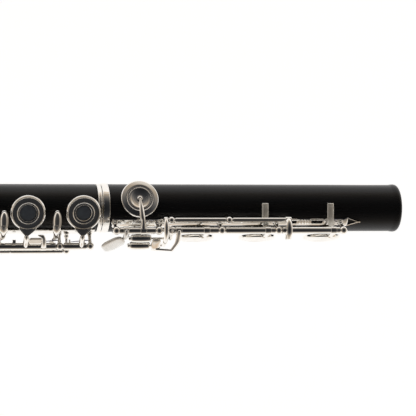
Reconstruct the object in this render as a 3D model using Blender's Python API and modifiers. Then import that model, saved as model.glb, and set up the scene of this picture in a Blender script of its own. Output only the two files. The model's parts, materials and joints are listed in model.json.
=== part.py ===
"""Boehm concert flute with a wooden tube, silver-plated keywork and a B foot. Metres, +Z up.

The origin is on the bore axis, under the centre of the embouchure hole. +X runs to the foot end,
+Z through the row of finger keys, and -Y is the player's side. Angles round the tube start at +Z
and grow towards -Y. Lengths below are in millimetres: MM turns them into metres.
"""

import math

import bmesh
import bpy
from mathutils import Matrix, Vector

MM = 0.001

# Tube
TUBE_R, BORE_R = 13.0, 9.5
CROWN_X, HEAD_X, HEAD_END, BODY_X, BODY_END, FOOT_END = -55.0, -42.0, 128.0, 133.2, 483.0, 651.5
STOPPER_FACE = -17.0
HEAD_BORE_R = 8.5
HEAD_TENON_R, HEAD_TENON_X, HEAD_TENON_END = 10.4, 108.3, 166.0
LINING_R, LINING_END = 11.3, 168.0
TENON_R, TENON_END = 10.9, 494.8
RING_R, FOOT_RING_END = 13.4, 487.3
GAP = 0.3
SEAT = 13.6

# Keys: cup and hole radii, and how far keys stand open at rest
CUP_LARGE, CUP_UPPER, CUP_FOOT, CUP_SMALL = 9.45, 8.6, 10.25, 5.4
HOLE_LARGE, HOLE_UPPER, HOLE_FOOT, HOLE_SMALL = 6.6, 6.0, 7.0, 3.5
RIM = 1.2
OPEN_DEG, FOOT_OPEN_DEG = 5.0, 4.2

# Hinge lines: radius and angle round the tube
MAIN_LINE = (22.5, 58.5)
TRILL_LINE = (23.3, 75.5)
THUMB_LINE = (22.5, 92.0)
G_SHARP_LINE = (22.0, -62.0)
FOOT_LINE = (21.5, 26.9)
LEVER_LINE = (18.5, 13.1)

HINGE_R, HINGE_BORE, STEEL_R = 1.95, 1.25, 0.9
TRILL_R, TRILL_BORE = 1.6, 1.1
LEVER_R = 1.35
POST_R, POST_HOLE = 2.15, 1.2

MAIN_POSTS = (234.5, 251.5, 286.0, 374.5, 460.1, 476.6)
TRILL_POSTS = (203.5, 464.5)
THUMB_POSTS = (270.5, 317.0)
G_SHARP_POSTS = (350.0, 396.0)
FOOT_POSTS = (489.5, 512.7, 547.3, 579.0, 615.7)
LEVER_POSTS = (519.6, 551.5)
POST_END = 2.1

# Tone holes: place along the tube, angle round it
C_X, B_FLAT_X, A_X, G_X, G2_X = 242.0, 297.8, 318.5, 340.6, 363.9
F_SHARP_X, F_X, E_X, D_X = 388.6, 414.8, 442.3, 472.0
THUMB_X, THUMB_ANGLE = 278.2, 150.0
G_SHARP_X, G_SHARP_ANGLE = 363.9, -120.0
TRILL_ANGLE, TRILL_D_SHARP_X, TRILL_D_X = 130.0, 209.0, 226.0
D_SHARP_X, D_SHARP_ANGLE = 502.8, -26.5
C_SHARP_X, C_FOOT_X, B_X, FOOT_CUP_ANGLE = 535.9, 570.8, 607.8, 80.0

# Rollers of the foot: place of each axle, towards the player and up
ROLLER_R, ROLLER_X0, ROLLER_X1 = 2.3, 497.7, 508.8
ROLLER_C, ROLLER_B = (14.3, 17.0), (18.7, 13.5)
AXLE_R = 0.6

TURN, CUP_SIDES, SMALL_SIDES = 24, 14, 8

WOOD = ("grenadilla", (0.012, 0.010, 0.010), 0.32, 0.0)
SILVER = ("silver_plate", (0.80, 0.79, 0.76), 0.16, 1.0)
STEEL = ("steel", (0.45, 0.45, 0.46), 0.30, 1.0)
PAD = ("pad_skin", (0.78, 0.70, 0.52), 0.60, 0.0)
CORK = ("cork", (0.50, 0.32, 0.17), 0.85, 0.0)


def clear_scene():
    for obj in list(bpy.data.objects):
        bpy.data.objects.remove(obj)
    for collection in list(bpy.data.collections):
        bpy.data.collections.remove(collection)


def new_collection(name):
    collection = bpy.data.collections.new(name)
    bpy.context.scene.collection.children.link(collection)
    return collection


clear_scene()
PARTS = new_collection("concert_flute")
HELPERS = new_collection("helpers")
HELPERS.hide_render = True


def material(name, look):
    made = bpy.data.materials.new(f"{name}_{look[0]}")
    made.use_nodes = True
    shader = made.node_tree.nodes["Principled BSDF"]
    shader.inputs["Base Color"].default_value = (*look[1], 1.0)
    shader.inputs["Roughness"].default_value = look[2]
    shader.inputs["Metallic"].default_value = look[3]
    return made


def polar(x, radius, angle):
    turn = math.radians(angle)
    return Vector((x, -radius * math.sin(turn), radius * math.cos(turn)))


def side(x, near, up):
    """A point by its distance towards the player and its height."""
    return Vector((x, -near, up))


def move(point):
    return Matrix.Translation(point * MM)


def along_x(x=0.0):
    """Stands a shape that is turned about Z on the X axis."""
    return move(Vector((x, 0, 0))) @ Matrix.Rotation(math.pi / 2, 4, "Y")


def radial(x, angle):
    """Turns local Z outwards at this angle round the tube."""
    return move(Vector((x, 0, 0))) @ Matrix.Rotation(math.radians(angle), 4, "X")


def facing(point, angle):
    """Puts a shape at a point, with its local Z at this angle round X."""
    return move(point) @ Matrix.Rotation(math.radians(angle), 4, "X")


def place(obj, matrix, parent):
    obj.parent = parent
    obj.matrix_local = matrix
    return obj


def node(name, mesh, look, matrix, parent=None):
    obj = bpy.data.objects.new(name, mesh)
    mesh.materials.append(material(name, look))
    PARTS.objects.link(obj)
    return place(obj, matrix, parent)


def helper(name, mesh, matrix, parent=None):
    obj = bpy.data.objects.new(name, mesh)
    obj.hide_render = True
    obj.display_type = "WIRE"
    HELPERS.objects.link(obj)
    return place(obj, matrix, parent)


def finish_mesh(name, shape, smooth=True):
    bmesh.ops.recalc_face_normals(shape, faces=shape.faces)
    mesh = bpy.data.meshes.new(name)
    shape.to_mesh(mesh)
    shape.free()
    if smooth:
        mesh.shade_smooth()
        mesh.set_sharp_from_angle(angle=math.radians(35))
    return mesh


def profile_mesh(name, points, ring):
    """An outline in the XZ plane for a Screw: points are radius and height, down the outer side."""
    mesh = bpy.data.meshes.new(name)
    edges = [(i, i + 1) for i in range(len(points) - 1)]
    if ring:
        edges.append((len(points) - 1, 0))
    mesh.from_pydata([(r * MM, 0, z * MM) for r, z in points], edges, [])
    return mesh


def turn(obj, steps):
    screw = obj.modifiers.new("turn", "SCREW")
    screw.steps = steps
    screw.render_steps = steps
    screw.use_merge_vertices = True
    screw.merge_threshold = 0.00001
    screw.use_smooth_shade = True
    return obj


def tube_profile(x0, x1, outer, inner):
    return [(outer, x1), (outer, x0), (inner, x0), (inner, x1)]


def turned_node(name, points, look, matrix, parent=None, ring=True, steps=TURN):
    obj = node(name, profile_mesh(name, points, ring), look, matrix, parent)
    return turn(obj, steps)


def turned_helper(name, points, matrix, parent=None, ring=True, steps=CUP_SIDES):
    return turn(helper(name, profile_mesh(name, points, ring), matrix, parent), steps)


def combine(obj, other, operation="UNION"):
    modifier = obj.modifiers.new(other.name, "BOOLEAN")
    modifier.operation = operation
    modifier.solver = "EXACT"
    modifier.object = other
    return obj


def add_cylinder(shape, matrix, radius, z0, z1, sides):
    centre = Matrix.Translation((0, 0, (z0 + z1) / 2 * MM))
    bmesh.ops.create_cone(
        shape, cap_ends=True, segments=sides, radius1=radius * MM, radius2=radius * MM,
        depth=(z1 - z0) * MM, matrix=matrix @ centre,
    )


def cone_mesh(name, start, end, radius0, radius1, sides=SMALL_SIDES):
    """A cone between two points in the player's frame."""
    run = (end - start) * MM
    turned = run.to_track_quat("Z", "Y").to_matrix().to_4x4()
    shape = bmesh.new()
    bmesh.ops.create_cone(
        shape, cap_ends=True, segments=sides, radius1=radius0 * MM, radius2=radius1 * MM,
        depth=run.length, matrix=Matrix.Translation((start + end) / 2 * MM) @ turned,
    )
    return finish_mesh(name, shape)


def loft(name, sections, smooth=False):
    """A closed skin through sections of equal point count."""
    shape = bmesh.new()
    rings = [[shape.verts.new(point * MM) for point in section] for section in sections]
    for first, second in zip(rings, rings[1:]):
        for i in range(len(first)):
            j = (i + 1) % len(first)
            shape.faces.new((first[i], first[j], second[j], second[i]))
    shape.faces.new(reversed(rings[0]))
    shape.faces.new(rings[-1])
    return finish_mesh(name, shape, smooth)


def bar_mesh(name, stations):
    """A bar through stations of x, near, up, width along X and thickness."""
    sections = []
    for i, (x, near, up, width, thick) in enumerate(stations):
        before, after = stations[max(i - 1, 0)], stations[min(i + 1, len(stations) - 1)]
        run = Vector((after[1] - before[1], after[2] - before[2])).normalized()
        across = Vector((-run.y, run.x)) * thick / 2
        sections.append([
            side(x + a * width / 2, near + b * across.x, up + b * across.y)
            for a, b in ((-1, -1), (1, -1), (1, 1), (-1, 1))
        ])
    return loft(name, sections)


def oval_mesh(name, length, width, thick, points=16, power=2.0):
    """A flat oval plate, its length along X."""
    outline = []
    for i in range(points):
        a = 2 * math.pi * i / points
        c, s = math.cos(a), math.sin(a)
        outline.append(Vector((
            math.copysign(abs(c) ** (2 / power), c) * length / 2,
            math.copysign(abs(s) ** (2 / power), s) * width / 2, 0,
        )))
    up = Vector((0, 0, thick / 2))
    return loft(name, [[p - up for p in outline], [p + up for p in outline]])


def strap_mesh(name, stations, inner, outer, steps=3):
    """A strip bent round the tube: stations are x and the angles of its two edges."""
    sections = []
    for x, low, high in stations:
        angles = [low + (high - low) * i / steps for i in range(steps + 1)]
        sections.append(
            [polar(x, outer, a) for a in angles] + [polar(x, inner, a) for a in reversed(angles)]
        )
    return loft(name, sections)


def flat_strap(x0, x1, angle, width):
    half = math.degrees(width / 2 / TUBE_R)
    return [(x0, angle - half, angle + half), (x1, angle - half, angle + half)]


def add_post(rib, x, line, foot_angle, ball=POST_R, hole=POST_HOLE):
    """A ball post: a tapered stem from the rib, and a drilled ball on the hinge line."""
    radius, angle = line
    centre, base = polar(x, radius, angle), polar(x, TUBE_R + 0.8, foot_angle)
    inward = (base - centre).normalized()
    label = f"{rib.name}_{x:.0f}_{angle:.0f}"
    stem = cone_mesh(f"{label}_stem", base, centre + inward * (hole + 0.35), 1.6, 1.15, 8)
    combine(rib, helper(f"{label}_stem", stem, Matrix()))
    edge = math.acos(hole / ball)
    arc = [edge - 2 * edge * i / 4 for i in range(5)]
    points = [(ball * math.cos(a), ball * math.sin(a)) for a in arc]
    combine(rib, turned_helper(f"{label}_ball", points, move(centre) @ along_x(), steps=SMALL_SIDES))


class Hinge:
    """A key's axis: an empty on the hinge line, turned to where the key rests."""

    def __init__(self, name, line, opened):
        self.axis = polar(0, *line)
        self.turn = math.radians(opened)
        self.empty = bpy.data.objects.new(f"{name}_axis", None)
        PARTS.objects.link(self.empty)
        self.empty.location = self.axis * MM
        self.empty.rotation_euler.x = self.turn

    def closed(self, matrix=Matrix()):
        """Where a shape goes that is given in the flute's frame with the key closed."""
        return move(-self.axis) @ matrix

    def rest(self, matrix=Matrix()):
        """Where a shape goes that is given in the flute's frame with the key at rest."""
        return Matrix.Rotation(-self.turn, 4, "X") @ move(-self.axis) @ matrix


def hinge_tube(name, hinge, x0, x1, radius=HINGE_R, bore=HINGE_BORE):
    return turned_node(
        name, tube_profile(x0, x1, radius, bore), SILVER, along_x(), hinge.empty, steps=SMALL_SIDES
    )


def pinned_rod(name, hinge, x0, x1, pin0, pin1, radius=HINGE_R, pin=STEEL_R):
    """A solid hinge rod whose thinner ends turn in the posts."""
    points = [(0, pin1), (pin, pin1), (pin, x1), (radius, x1), (radius, x0), (pin, x0), (pin, pin0), (0, pin0)]
    return turned_node(name, points, SILVER, along_x(), hinge.empty, ring=False, steps=SMALL_SIDES)


def cup_profile(radius, hole=0.0):
    """Wall, domed top and pad recess, by radius and height over the bore axis."""
    low, top, roof = SEAT + 0.6, SEAT + 2.9, SEAT + 2.2
    wall = radius - 0.7
    outer = [(radius - 0.9, top), (radius, top - 0.9), (radius, low), (wall, low)]
    if hole:
        return [(hole, top)] + outer + [(wall, roof), (hole + 0.6, roof), (hole + 0.6, low), (hole, low)]
    return [(0, top + 0.1)] + outer + [(wall, roof), (0, roof)]


def add_cup(key, hinge, x, angle, radius, hole=0.0):
    label = f"{key.name}_cup_{x:.0f}"
    cup = turned_helper(label, cup_profile(radius, hole), hinge.closed(radial(x, angle)), hinge.empty, ring=bool(hole))
    combine(key, cup)


def add_pad(name, hinge, x, angle, radius, hole=0.0):
    low, high = SEAT + GAP, SEAT + 1.9
    outer = radius - 1.0
    matrix = hinge.closed(radial(x, angle))
    if hole:
        points = tube_profile(low, high, outer, hole + 0.9)
        return turned_node(name, points, PAD, matrix, hinge.empty, steps=CUP_SIDES)
    points = [(0, high), (outer, high), (outer, low), (0, low)]
    return turned_node(name, points, PAD, matrix, hinge.empty, ring=False, steps=CUP_SIDES)


def add_bar(key, hinge, label, stations, at_rest=False):
    mesh = bar_mesh(f"{key.name}_{label}", stations)
    matrix = hinge.rest() if at_rest else hinge.closed()
    combine(key, helper(f"{key.name}_{label}", mesh, matrix, hinge.empty))


def add_plate(key, hinge, label, centre, angle, size, power=2.0, at_rest=True):
    mesh = oval_mesh(f"{key.name}_{label}", *size, power=power)
    frame = facing(centre, angle)
    matrix = hinge.rest(frame) if at_rest else hinge.closed(frame)
    combine(key, helper(f"{key.name}_{label}", mesh, matrix, hinge.empty))


def cup_arm(x, cup_angle, line, cup_radius, x_hinge=None, reach=None, width=8.5):
    """Stations of an arm from a cup to its hinge line: a broad web at the cup, a narrow stem at the hinge."""
    radius, angle = line
    away = math.copysign(1.0, angle - cup_angle)
    top = SEAT + 2.2
    turn_back = math.radians(cup_angle)
    hinge_side = radius * math.sin(math.radians(angle - cup_angle))
    hinge_up = radius * math.cos(math.radians(angle - cup_angle))
    reach = cup_radius - 1.6 if reach is None else reach
    x_hinge = x if x_hinge is None else x_hinge
    local = [
        (x, away * reach, top + 0.8, width, 1.2),
        (x, away * (cup_radius + 0.6), top + 0.55, width * 0.72, 1.3),
        (x_hinge, hinge_side - away * 4.2, (top + hinge_up + 1.9) / 2, 2.4, 1.8),
        (x_hinge, hinge_side - away * 0.9, hinge_up + 0.5, 3.0, 1.9),
    ]
    stations = []
    for sx, near, up, across, thick in local:
        flute_near = near * math.cos(turn_back) + up * math.sin(turn_back)
        flute_up = up * math.cos(turn_back) - near * math.sin(turn_back)
        stations.append((sx, flute_near, flute_up, across, thick))
    return stations


# Tubes and their fittings

def holes_of(specs):
    """Chimneys and bores of tone holes, each as one helper mesh of separate cylinders."""
    chimneys, bores = bmesh.new(), bmesh.new()
    for x, angle, hole in specs:
        outer = hole + RIM
        foot = math.sqrt(TUBE_R ** 2 - outer ** 2) - 0.25
        foot = max(foot, BORE_R + 0.15)
        sides = CUP_SIDES if hole > 5 else SMALL_SIDES
        add_cylinder(chimneys, radial(x, angle), outer, foot, SEAT, sides)
        add_cylinder(bores, radial(x, angle), hole, 3.0, SEAT + 3.0, sides)
    return chimneys, bores


def drill(tube, specs):
    chimneys, bores = holes_of(specs)
    combine(tube, helper(f"{tube.name}_chimneys", finish_mesh("chimneys", chimneys), Matrix()))
    combine(tube, helper(f"{tube.name}_holes", finish_mesh("holes", bores), Matrix()), "DIFFERENCE")


def make_head():
    outline = [
        (TUBE_R, HEAD_END), (TUBE_R, 60.0), (TUBE_R + 0.7, 12.0), (TUBE_R + 0.7, -14.0),
        (TUBE_R, HEAD_X), (HEAD_BORE_R, HEAD_X), (HEAD_BORE_R, 8.0), (BORE_R, HEAD_TENON_X - GAP),
        (HEAD_TENON_R + GAP, HEAD_TENON_X - GAP), (HEAD_TENON_R + GAP, HEAD_END),
    ]
    head = turned_node("head_tube", outline, WOOD, along_x())
    hole = bmesh.new()
    add_cylinder(hole, Matrix.Diagonal((6.1 / 5.1, 1, 1, 1)), 5.1, 3.0, 20.0, CUP_SIDES)
    combine(head, helper("embouchure", finish_mesh("embouchure", hole), Matrix()), "DIFFERENCE")
    turned_node("head_tenon", tube_profile(HEAD_TENON_X, HEAD_TENON_END, HEAD_TENON_R, BORE_R), SILVER, along_x())
    ring = [
        (RING_R - 0.3, BODY_X - 0.5), (RING_R, BODY_X - 1.2), (RING_R, HEAD_END + 0.9),
        (RING_R - 0.3, HEAD_END + 0.3), (HEAD_TENON_R + GAP, HEAD_END + 0.3), (HEAD_TENON_R + GAP, BODY_X - 0.5),
    ]
    turned_node("head_ring", ring, SILVER, along_x())
    cork = tube_profile(STOPPER_FACE - 15, STOPPER_FACE - 1.4, HEAD_BORE_R - 0.2, 2.3)
    turned_node("stopper_cork", cork, CORK, along_x(), steps=CUP_SIDES)
    screw = [
        (0, STOPPER_FACE), (HEAD_BORE_R - 0.4, STOPPER_FACE), (HEAD_BORE_R - 0.4, STOPPER_FACE - 1.1),
        (2.0, STOPPER_FACE - 1.1), (2.0, CROWN_X + 6), (0, CROWN_X + 6),
    ]
    turned_node("stopper_screw", screw, STEEL, along_x(), ring=False, steps=CUP_SIDES)
    crown = [
        (0, CROWN_X + 5), (2.3, CROWN_X + 5), (2.3, HEAD_X + 6), (HEAD_BORE_R - 0.4, HEAD_X + 6),
        (HEAD_BORE_R - 0.4, HEAD_X - GAP), (TUBE_R, HEAD_X - GAP), (TUBE_R, CROWN_X + 4),
        (TUBE_R - 2.5, CROWN_X + 0.8), (TUBE_R - 7, CROWN_X), (0, CROWN_X),
    ]
    turned_node("crown_cap", crown, WOOD, along_x(), ring=False)


def make_body_tube():
    socket_r = LINING_R + GAP
    outline = [
        (TENON_R - 0.5, TENON_END), (TENON_R - 0.5, BODY_END + 1.5), (TENON_R, BODY_END + 1.5),
        (TENON_R, BODY_END - 0.2), (TUBE_R - 0.8, BODY_END - 0.2), (TUBE_R - 0.8, BODY_END - 2.6),
        (TUBE_R, BODY_END - 2.6), (TUBE_R, BODY_X + 4.6), (TUBE_R - 0.5, BODY_X + 4.6), (TUBE_R - 0.5, BODY_X),
        (socket_r, BODY_X), (socket_r, LINING_END + GAP), (BORE_R, LINING_END + GAP), (BORE_R, TENON_END),
    ]
    body = turned_node("body_tube", outline, WOOD, along_x())
    finger = [(x, 0.0, HOLE_LARGE) for x in (F_SHARP_X, F_X, E_X, D_X)]
    upper = [(x, 0.0, HOLE_UPPER) for x in (B_FLAT_X, A_X, G_X, G2_X)]
    trills = [(x, TRILL_ANGLE, HOLE_SMALL) for x in (TRILL_D_SHARP_X, TRILL_D_X)]
    others = [
        (C_X, 0.0, HOLE_SMALL), (THUMB_X, THUMB_ANGLE, HOLE_UPPER), (G_SHARP_X, G_SHARP_ANGLE, HOLE_UPPER),
    ]
    drill(body, finger + upper + trills + others)
    lining = tube_profile(BODY_X, LINING_END, LINING_R, HEAD_TENON_R + 0.2)
    turned_node("socket_lining", lining, SILVER, along_x())
    turned_node("socket_ring", tube_profile(BODY_X, BODY_X + 4.3, RING_R, TUBE_R - 0.2), SILVER, along_x())
    lower = tube_profile(BODY_END - 2.3, BODY_END, RING_R - 0.1, TUBE_R - 0.5)
    turned_node("body_lower_ring", lower, SILVER, along_x())
    cork = tube_profile(BODY_END + 2.0, TENON_END - 1.0, TENON_R, TENON_R - 0.4)
    turned_node("tenon_cork", cork, CORK, along_x())


def make_foot_tube():
    socket_r, flare = TENON_R + GAP, RING_R - 0.1
    outline = [
        (flare - 1.2, FOOT_END), (flare - 0.3, FOOT_END - 0.7), (flare, FOOT_END - 1.8), (flare, FOOT_END - 3.2),
        (TUBE_R, FOOT_END - 4.6), (TUBE_R, FOOT_RING_END), (socket_r, FOOT_RING_END), (socket_r, TENON_END + GAP),
        (BORE_R, TENON_END + GAP), (BORE_R, FOOT_END),
    ]
    foot = turned_node("foot_tube", outline, WOOD, along_x())
    drill(foot, [(D_SHARP_X, D_SHARP_ANGLE, HOLE_FOOT)] + [
        (x, FOOT_CUP_ANGLE, HOLE_FOOT) for x in (C_SHARP_X, C_FOOT_X, B_X)
    ])
    ring = tube_profile(BODY_END + GAP, FOOT_RING_END - GAP, RING_R, socket_r)
    turned_node("foot_ring", ring, SILVER, along_x())


# Ribs, posts and hinge steels

RIB_IN, RIB_OUT = TUBE_R + 0.12, TUBE_R + 1.0


def make_rib(name, stations):
    return node(name, strap_mesh(name, stations, RIB_IN, RIB_OUT), SILVER, Matrix())


def make_steel(name, line, x0, x1):
    radius, angle = line
    points = [(0, x1), (STEEL_R, x1), (STEEL_R, x0), (0, x0)]
    turned_node(name, points, STEEL, move(polar(0, radius, angle)) @ along_x(), ring=False, steps=SMALL_SIDES)


def make_ribs():
    main = make_rib("main_rib", flat_strap(199.0, 479.5, 64.0, 6.0))
    for x in MAIN_POSTS:
        add_post(main, x, MAIN_LINE, 60.0)
    for x in TRILL_POSTS:
        add_post(main, x, TRILL_LINE, 70.5, ball=1.9, hole=1.1)
    thumb = make_rib("thumb_rib", flat_strap(266.0, 321.5, 94.0, 5.0))
    for x in THUMB_POSTS:
        add_post(thumb, x, THUMB_LINE, 93.0)
    g_sharp = make_rib("g_sharp_rib", flat_strap(345.5, 400.5, -60.0, 5.0))
    for x in G_SHARP_POSTS:
        add_post(g_sharp, x, G_SHARP_LINE, -61.0)
    edge, wide, narrow = 17.7, 43.0, 36.1
    foot = make_rib("foot_rib", [
        (488.3, edge, wide), (519.0, edge, wide), (521.5, edge, narrow), (616.5, edge, narrow),
        (619.0, edge - 3.0, narrow + 2.6), (623.0, edge, narrow), (627.7, 25.6, 28.2),
    ])
    for x in FOOT_POSTS:
        add_post(foot, x, FOOT_LINE, 27.0)
    for x in LEVER_POSTS:
        add_post(foot, x, LEVER_LINE, 21.0, ball=1.95, hole=LEVER_R - 0.15)
    make_steel("main_steel", MAIN_LINE, 284.2, 478.5)
    make_steel("thumb_steel", THUMB_LINE, 268.7, 318.8)
    make_steel("d_sharp_steel", FOOT_LINE, 487.6, 512.4)
    make_steel("b_steel", FOOT_LINE, 579.3, 617.6)


# Keys of the body

def make_main_key(name, tube, cups, cup_radius, hole=0.0, arm_shift=0.0, opened=OPEN_DEG, pads=None):
    hinge = Hinge(name, MAIN_LINE, opened)
    key = hinge_tube(name, hinge, *tube)
    pads = pads or [f"pad_{name.removesuffix('_key')}"]
    for x, pad in zip(cups, pads):
        add_cup(key, hinge, x, 0.0, cup_radius, hole)
        reach = cup_radius - 1.6 if hole else 1.5
        add_bar(key, hinge, f"arm_{x:.0f}", cup_arm(x, 0.0, MAIN_LINE, cup_radius, x + arm_shift, reach))
        add_pad(pad, hinge, x, 0.0, cup_radius, hole)
    return key, hinge


def make_finger_keys():
    make_main_key("b_flat_key", (288.2, 303.1), (B_FLAT_X,), CUP_UPPER)
    make_main_key("a_key", (303.4, 325.9), (A_X,), CUP_UPPER, hole=4.0)
    make_main_key("g_key", (326.2, 372.3), (G_X, G2_X), CUP_UPPER, pads=["pad_g", "pad_g_second"])
    make_main_key("f_sharp_key", (376.7, 397.0), (F_SHARP_X,), CUP_LARGE)
    make_main_key("f_key", (397.3, 422.3), (F_X,), CUP_LARGE, hole=4.3)
    e_key, e_hinge = make_main_key("e_key", (422.6, 457.9), (E_X,), CUP_LARGE, hole=4.5, arm_shift=-0.6)
    lug = [(451.2, 18.6, 13.2, 3.0, 1.8), (451.2, 14.5, 15.6, 2.4, 1.6), (448.0, 12.0, 16.0, 4.0, 1.6)]
    add_bar(e_key, e_hinge, "lug", lug)
    make_main_key("d_key", (462.2, 474.4), (D_X,), CUP_LARGE, hole=4.3, arm_shift=-0.3)


def make_c_key():
    hinge = Hinge("c_key", MAIN_LINE, OPEN_DEG)
    key = pinned_rod("c_key", hinge, 236.7, 249.3, 232.8, 253.2)
    add_cup(key, hinge, C_X, 0.0, CUP_SMALL)
    add_bar(key, hinge, "arm", cup_arm(C_X, 0.0, MAIN_LINE, CUP_SMALL, reach=1.0, width=5.0))
    touch = [(246.0, 18.4, 13.6, 3.0, 1.8), (249.0, 13.0, 16.5, 4.0, 1.4), (252.0, 9.0, 17.6, 5.0, 1.3)]
    add_bar(key, hinge, "touch_arm", touch)
    add_plate(key, hinge, "touch", side(255.0, 6.5, 18.0), 10.0, (15.0, 8.0, 1.3), at_rest=False)
    add_pad("pad_c", hinge, C_X, 0.0, CUP_SMALL)


def make_thumb_keys():
    hinge = Hinge("thumb_b_key", THUMB_LINE, -OPEN_DEG)
    key = hinge_tube("thumb_b_key", hinge, 272.7, 301.6)
    add_cup(key, hinge, THUMB_X, THUMB_ANGLE, CUP_UPPER)
    add_bar(key, hinge, "arm", cup_arm(THUMB_X, THUMB_ANGLE, THUMB_LINE, CUP_UPPER, reach=1.5))
    add_bar(key, hinge, "touch_arm", cup_arm(296.5, THUMB_ANGLE, THUMB_LINE, 5.0, reach=1.0, width=6.0))
    add_plate(key, hinge, "touch", polar(296.5, 17.2, 148.0), 148.0, (9.5, 17.0, 1.4), 2.6, False)
    add_pad("pad_thumb_b", hinge, THUMB_X, THUMB_ANGLE, CUP_UPPER)
    hinge = Hinge("thumb_b_flat_lever", THUMB_LINE, -OPEN_DEG)
    key = hinge_tube("thumb_b_flat_lever", hinge, 301.9, 314.8)
    add_bar(key, hinge, "touch_arm", cup_arm(307.5, THUMB_ANGLE, THUMB_LINE, 5.0, reach=1.0, width=6.0))
    add_plate(key, hinge, "touch", polar(307.5, 17.2, 148.0), 148.0, (8.5, 15.0, 1.4), 2.6, False)


def make_g_sharp_key():
    hinge = Hinge("g_sharp_key", G_SHARP_LINE, 0.0)
    key = pinned_rod("g_sharp_key", hinge, 352.2, 393.8, 348.3, 397.7)
    add_cup(key, hinge, G_SHARP_X, G_SHARP_ANGLE, CUP_UPPER)
    arm = cup_arm(G_SHARP_X, G_SHARP_ANGLE, G_SHARP_LINE, CUP_UPPER, reach=1.5)
    add_bar(key, hinge, "arm", arm)
    lever = [(384.0, -18.9, 11.3, 3.0, 1.8), (384.0, -17.6, 15.5, 4.0, 1.5), (382.0, -15.6, 18.2, 6.0, 1.4)]
    add_bar(key, hinge, "touch_arm", lever)
    add_plate(key, hinge, "touch", side(379.5, -14.6, 18.7), -32.0, (24.0, 7.5, 1.4))
    add_pad("pad_g_sharp", hinge, G_SHARP_X, G_SHARP_ANGLE, CUP_UPPER)


def trill_touch(x_arm, x_touch):
    """Stations under the finger-key hinge and up between two cups to the touch."""
    return [
        (x_arm, 21.6, 5.9, 2.6, 1.5), (x_arm, 17.0, 7.0, 2.6, 1.4), (x_touch, 14.6, 11.8, 2.8, 1.4),
        (x_touch, 11.8, 15.5, 3.2, 1.4), (x_touch, 8.2, 17.5, 4.5, 1.6), (x_touch, 3.0, 18.8, 4.8, 1.6),
        (x_touch, -0.4, 19.0, 3.4, 1.2),
    ]


def make_trill_keys():
    hinge = Hinge("trill_d_key", TRILL_LINE, 0.0)
    key = hinge_tube("trill_d_key", hinge, 213.8, 434.0, TRILL_R, TRILL_BORE)
    add_cup(key, hinge, TRILL_D_X, TRILL_ANGLE, CUP_SMALL)
    add_bar(key, hinge, "arm", cup_arm(TRILL_D_X, TRILL_ANGLE, TRILL_LINE, CUP_SMALL, reach=1.0, width=5.0))
    add_bar(key, hinge, "touch", trill_touch(428.2, 428.2))
    add_pad("pad_trill_d", hinge, TRILL_D_X, TRILL_ANGLE, CUP_SMALL)
    hinge = Hinge("trill_d_sharp_key", TRILL_LINE, 0.0)
    pin = 0.8
    points = [
        (0, 466.2), (pin, 466.2), (pin, 462.4), (TRILL_R, 462.4), (TRILL_R, 434.3), (pin, 434.3), (pin, 213.5),
        (TRILL_R, 213.5), (TRILL_R, 205.6), (pin, 205.6), (pin, 201.8), (0, 201.8),
    ]
    key = turned_node(
        "trill_d_sharp_key", points, SILVER, along_x(), hinge.empty, ring=False, steps=SMALL_SIDES
    )
    add_cup(key, hinge, TRILL_D_SHARP_X, TRILL_ANGLE, CUP_SMALL)
    arm = cup_arm(TRILL_D_SHARP_X, TRILL_ANGLE, TRILL_LINE, CUP_SMALL, reach=1.0, width=5.0)
    add_bar(key, hinge, "arm", arm)
    add_bar(key, hinge, "touch", trill_touch(456.5, 457.7))
    add_pad("pad_trill_d_sharp", hinge, TRILL_D_SHARP_X, TRILL_ANGLE, CUP_SMALL)


# Keys of the foot

def make_foot_cup(key, hinge, pad, x, angle, x_hinge):
    add_cup(key, hinge, x, angle, CUP_FOOT)
    add_bar(key, hinge, "arm", cup_arm(x, angle, FOOT_LINE, CUP_FOOT, x_hinge, 1.5))
    add_pad(pad, hinge, x, angle, CUP_FOOT)


def make_d_sharp_key():
    hinge = Hinge("foot_d_sharp_key", FOOT_LINE, 0.0)
    key = hinge_tube("foot_d_sharp_key", hinge, 491.6, 510.6)
    make_foot_cup(key, hinge, "pad_foot_d_sharp", D_SHARP_X, D_SHARP_ANGLE, 504.1)
    arm = [(494.7, 11.5, 19.6, 2.8, 1.9), (494.0, 14.6, 18.6, 3.4, 1.5), (490.6, 17.6, 16.6, 5.6, 1.4)]
    add_bar(key, hinge, "touch_arm", arm)
    add_plate(key, hinge, "touch", side(488.3, 18.2, 16.0), 30.0, (11.6, 7.6, 1.5), 2.4)


def add_axle(key, hinge, centre, x_lever):
    """The pin that a roller turns on, with its head beyond the roller."""
    near, up = centre
    pin = cone_mesh(f"{key.name}_axle", side(ROLLER_X0 - 0.9, near, up), side(x_lever, near, up), AXLE_R, AXLE_R, 8)
    combine(key, helper(f"{key.name}_axle", pin, hinge.rest(), hinge.empty))
    head = cone_mesh(
        f"{key.name}_axle_head", side(ROLLER_X0 - 1.2, near, up), side(ROLLER_X0 - 0.3, near, up), 1.0, 1.3, 8
    )
    combine(key, helper(f"{key.name}_axle_head", head, hinge.rest(), hinge.empty))


def make_roller(name, hinge, centre):
    near, up = centre
    bulge, bore, half = 0.45, AXLE_R + 0.3, (ROLLER_X1 - ROLLER_X0) / 2
    points = [
        (ROLLER_R - bulge * (z / half) ** 2, z)
        for z in (half, half * 0.9, half * 0.45, 0.0, -half * 0.45, -half * 0.9, -half)
    ]
    points += [(bore, -half), (bore, half)]
    centre = side((ROLLER_X0 + ROLLER_X1) / 2, near, up)
    turned_node(name, points, SILVER, hinge.rest(move(centre) @ along_x()), hinge.empty, steps=16)


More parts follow.
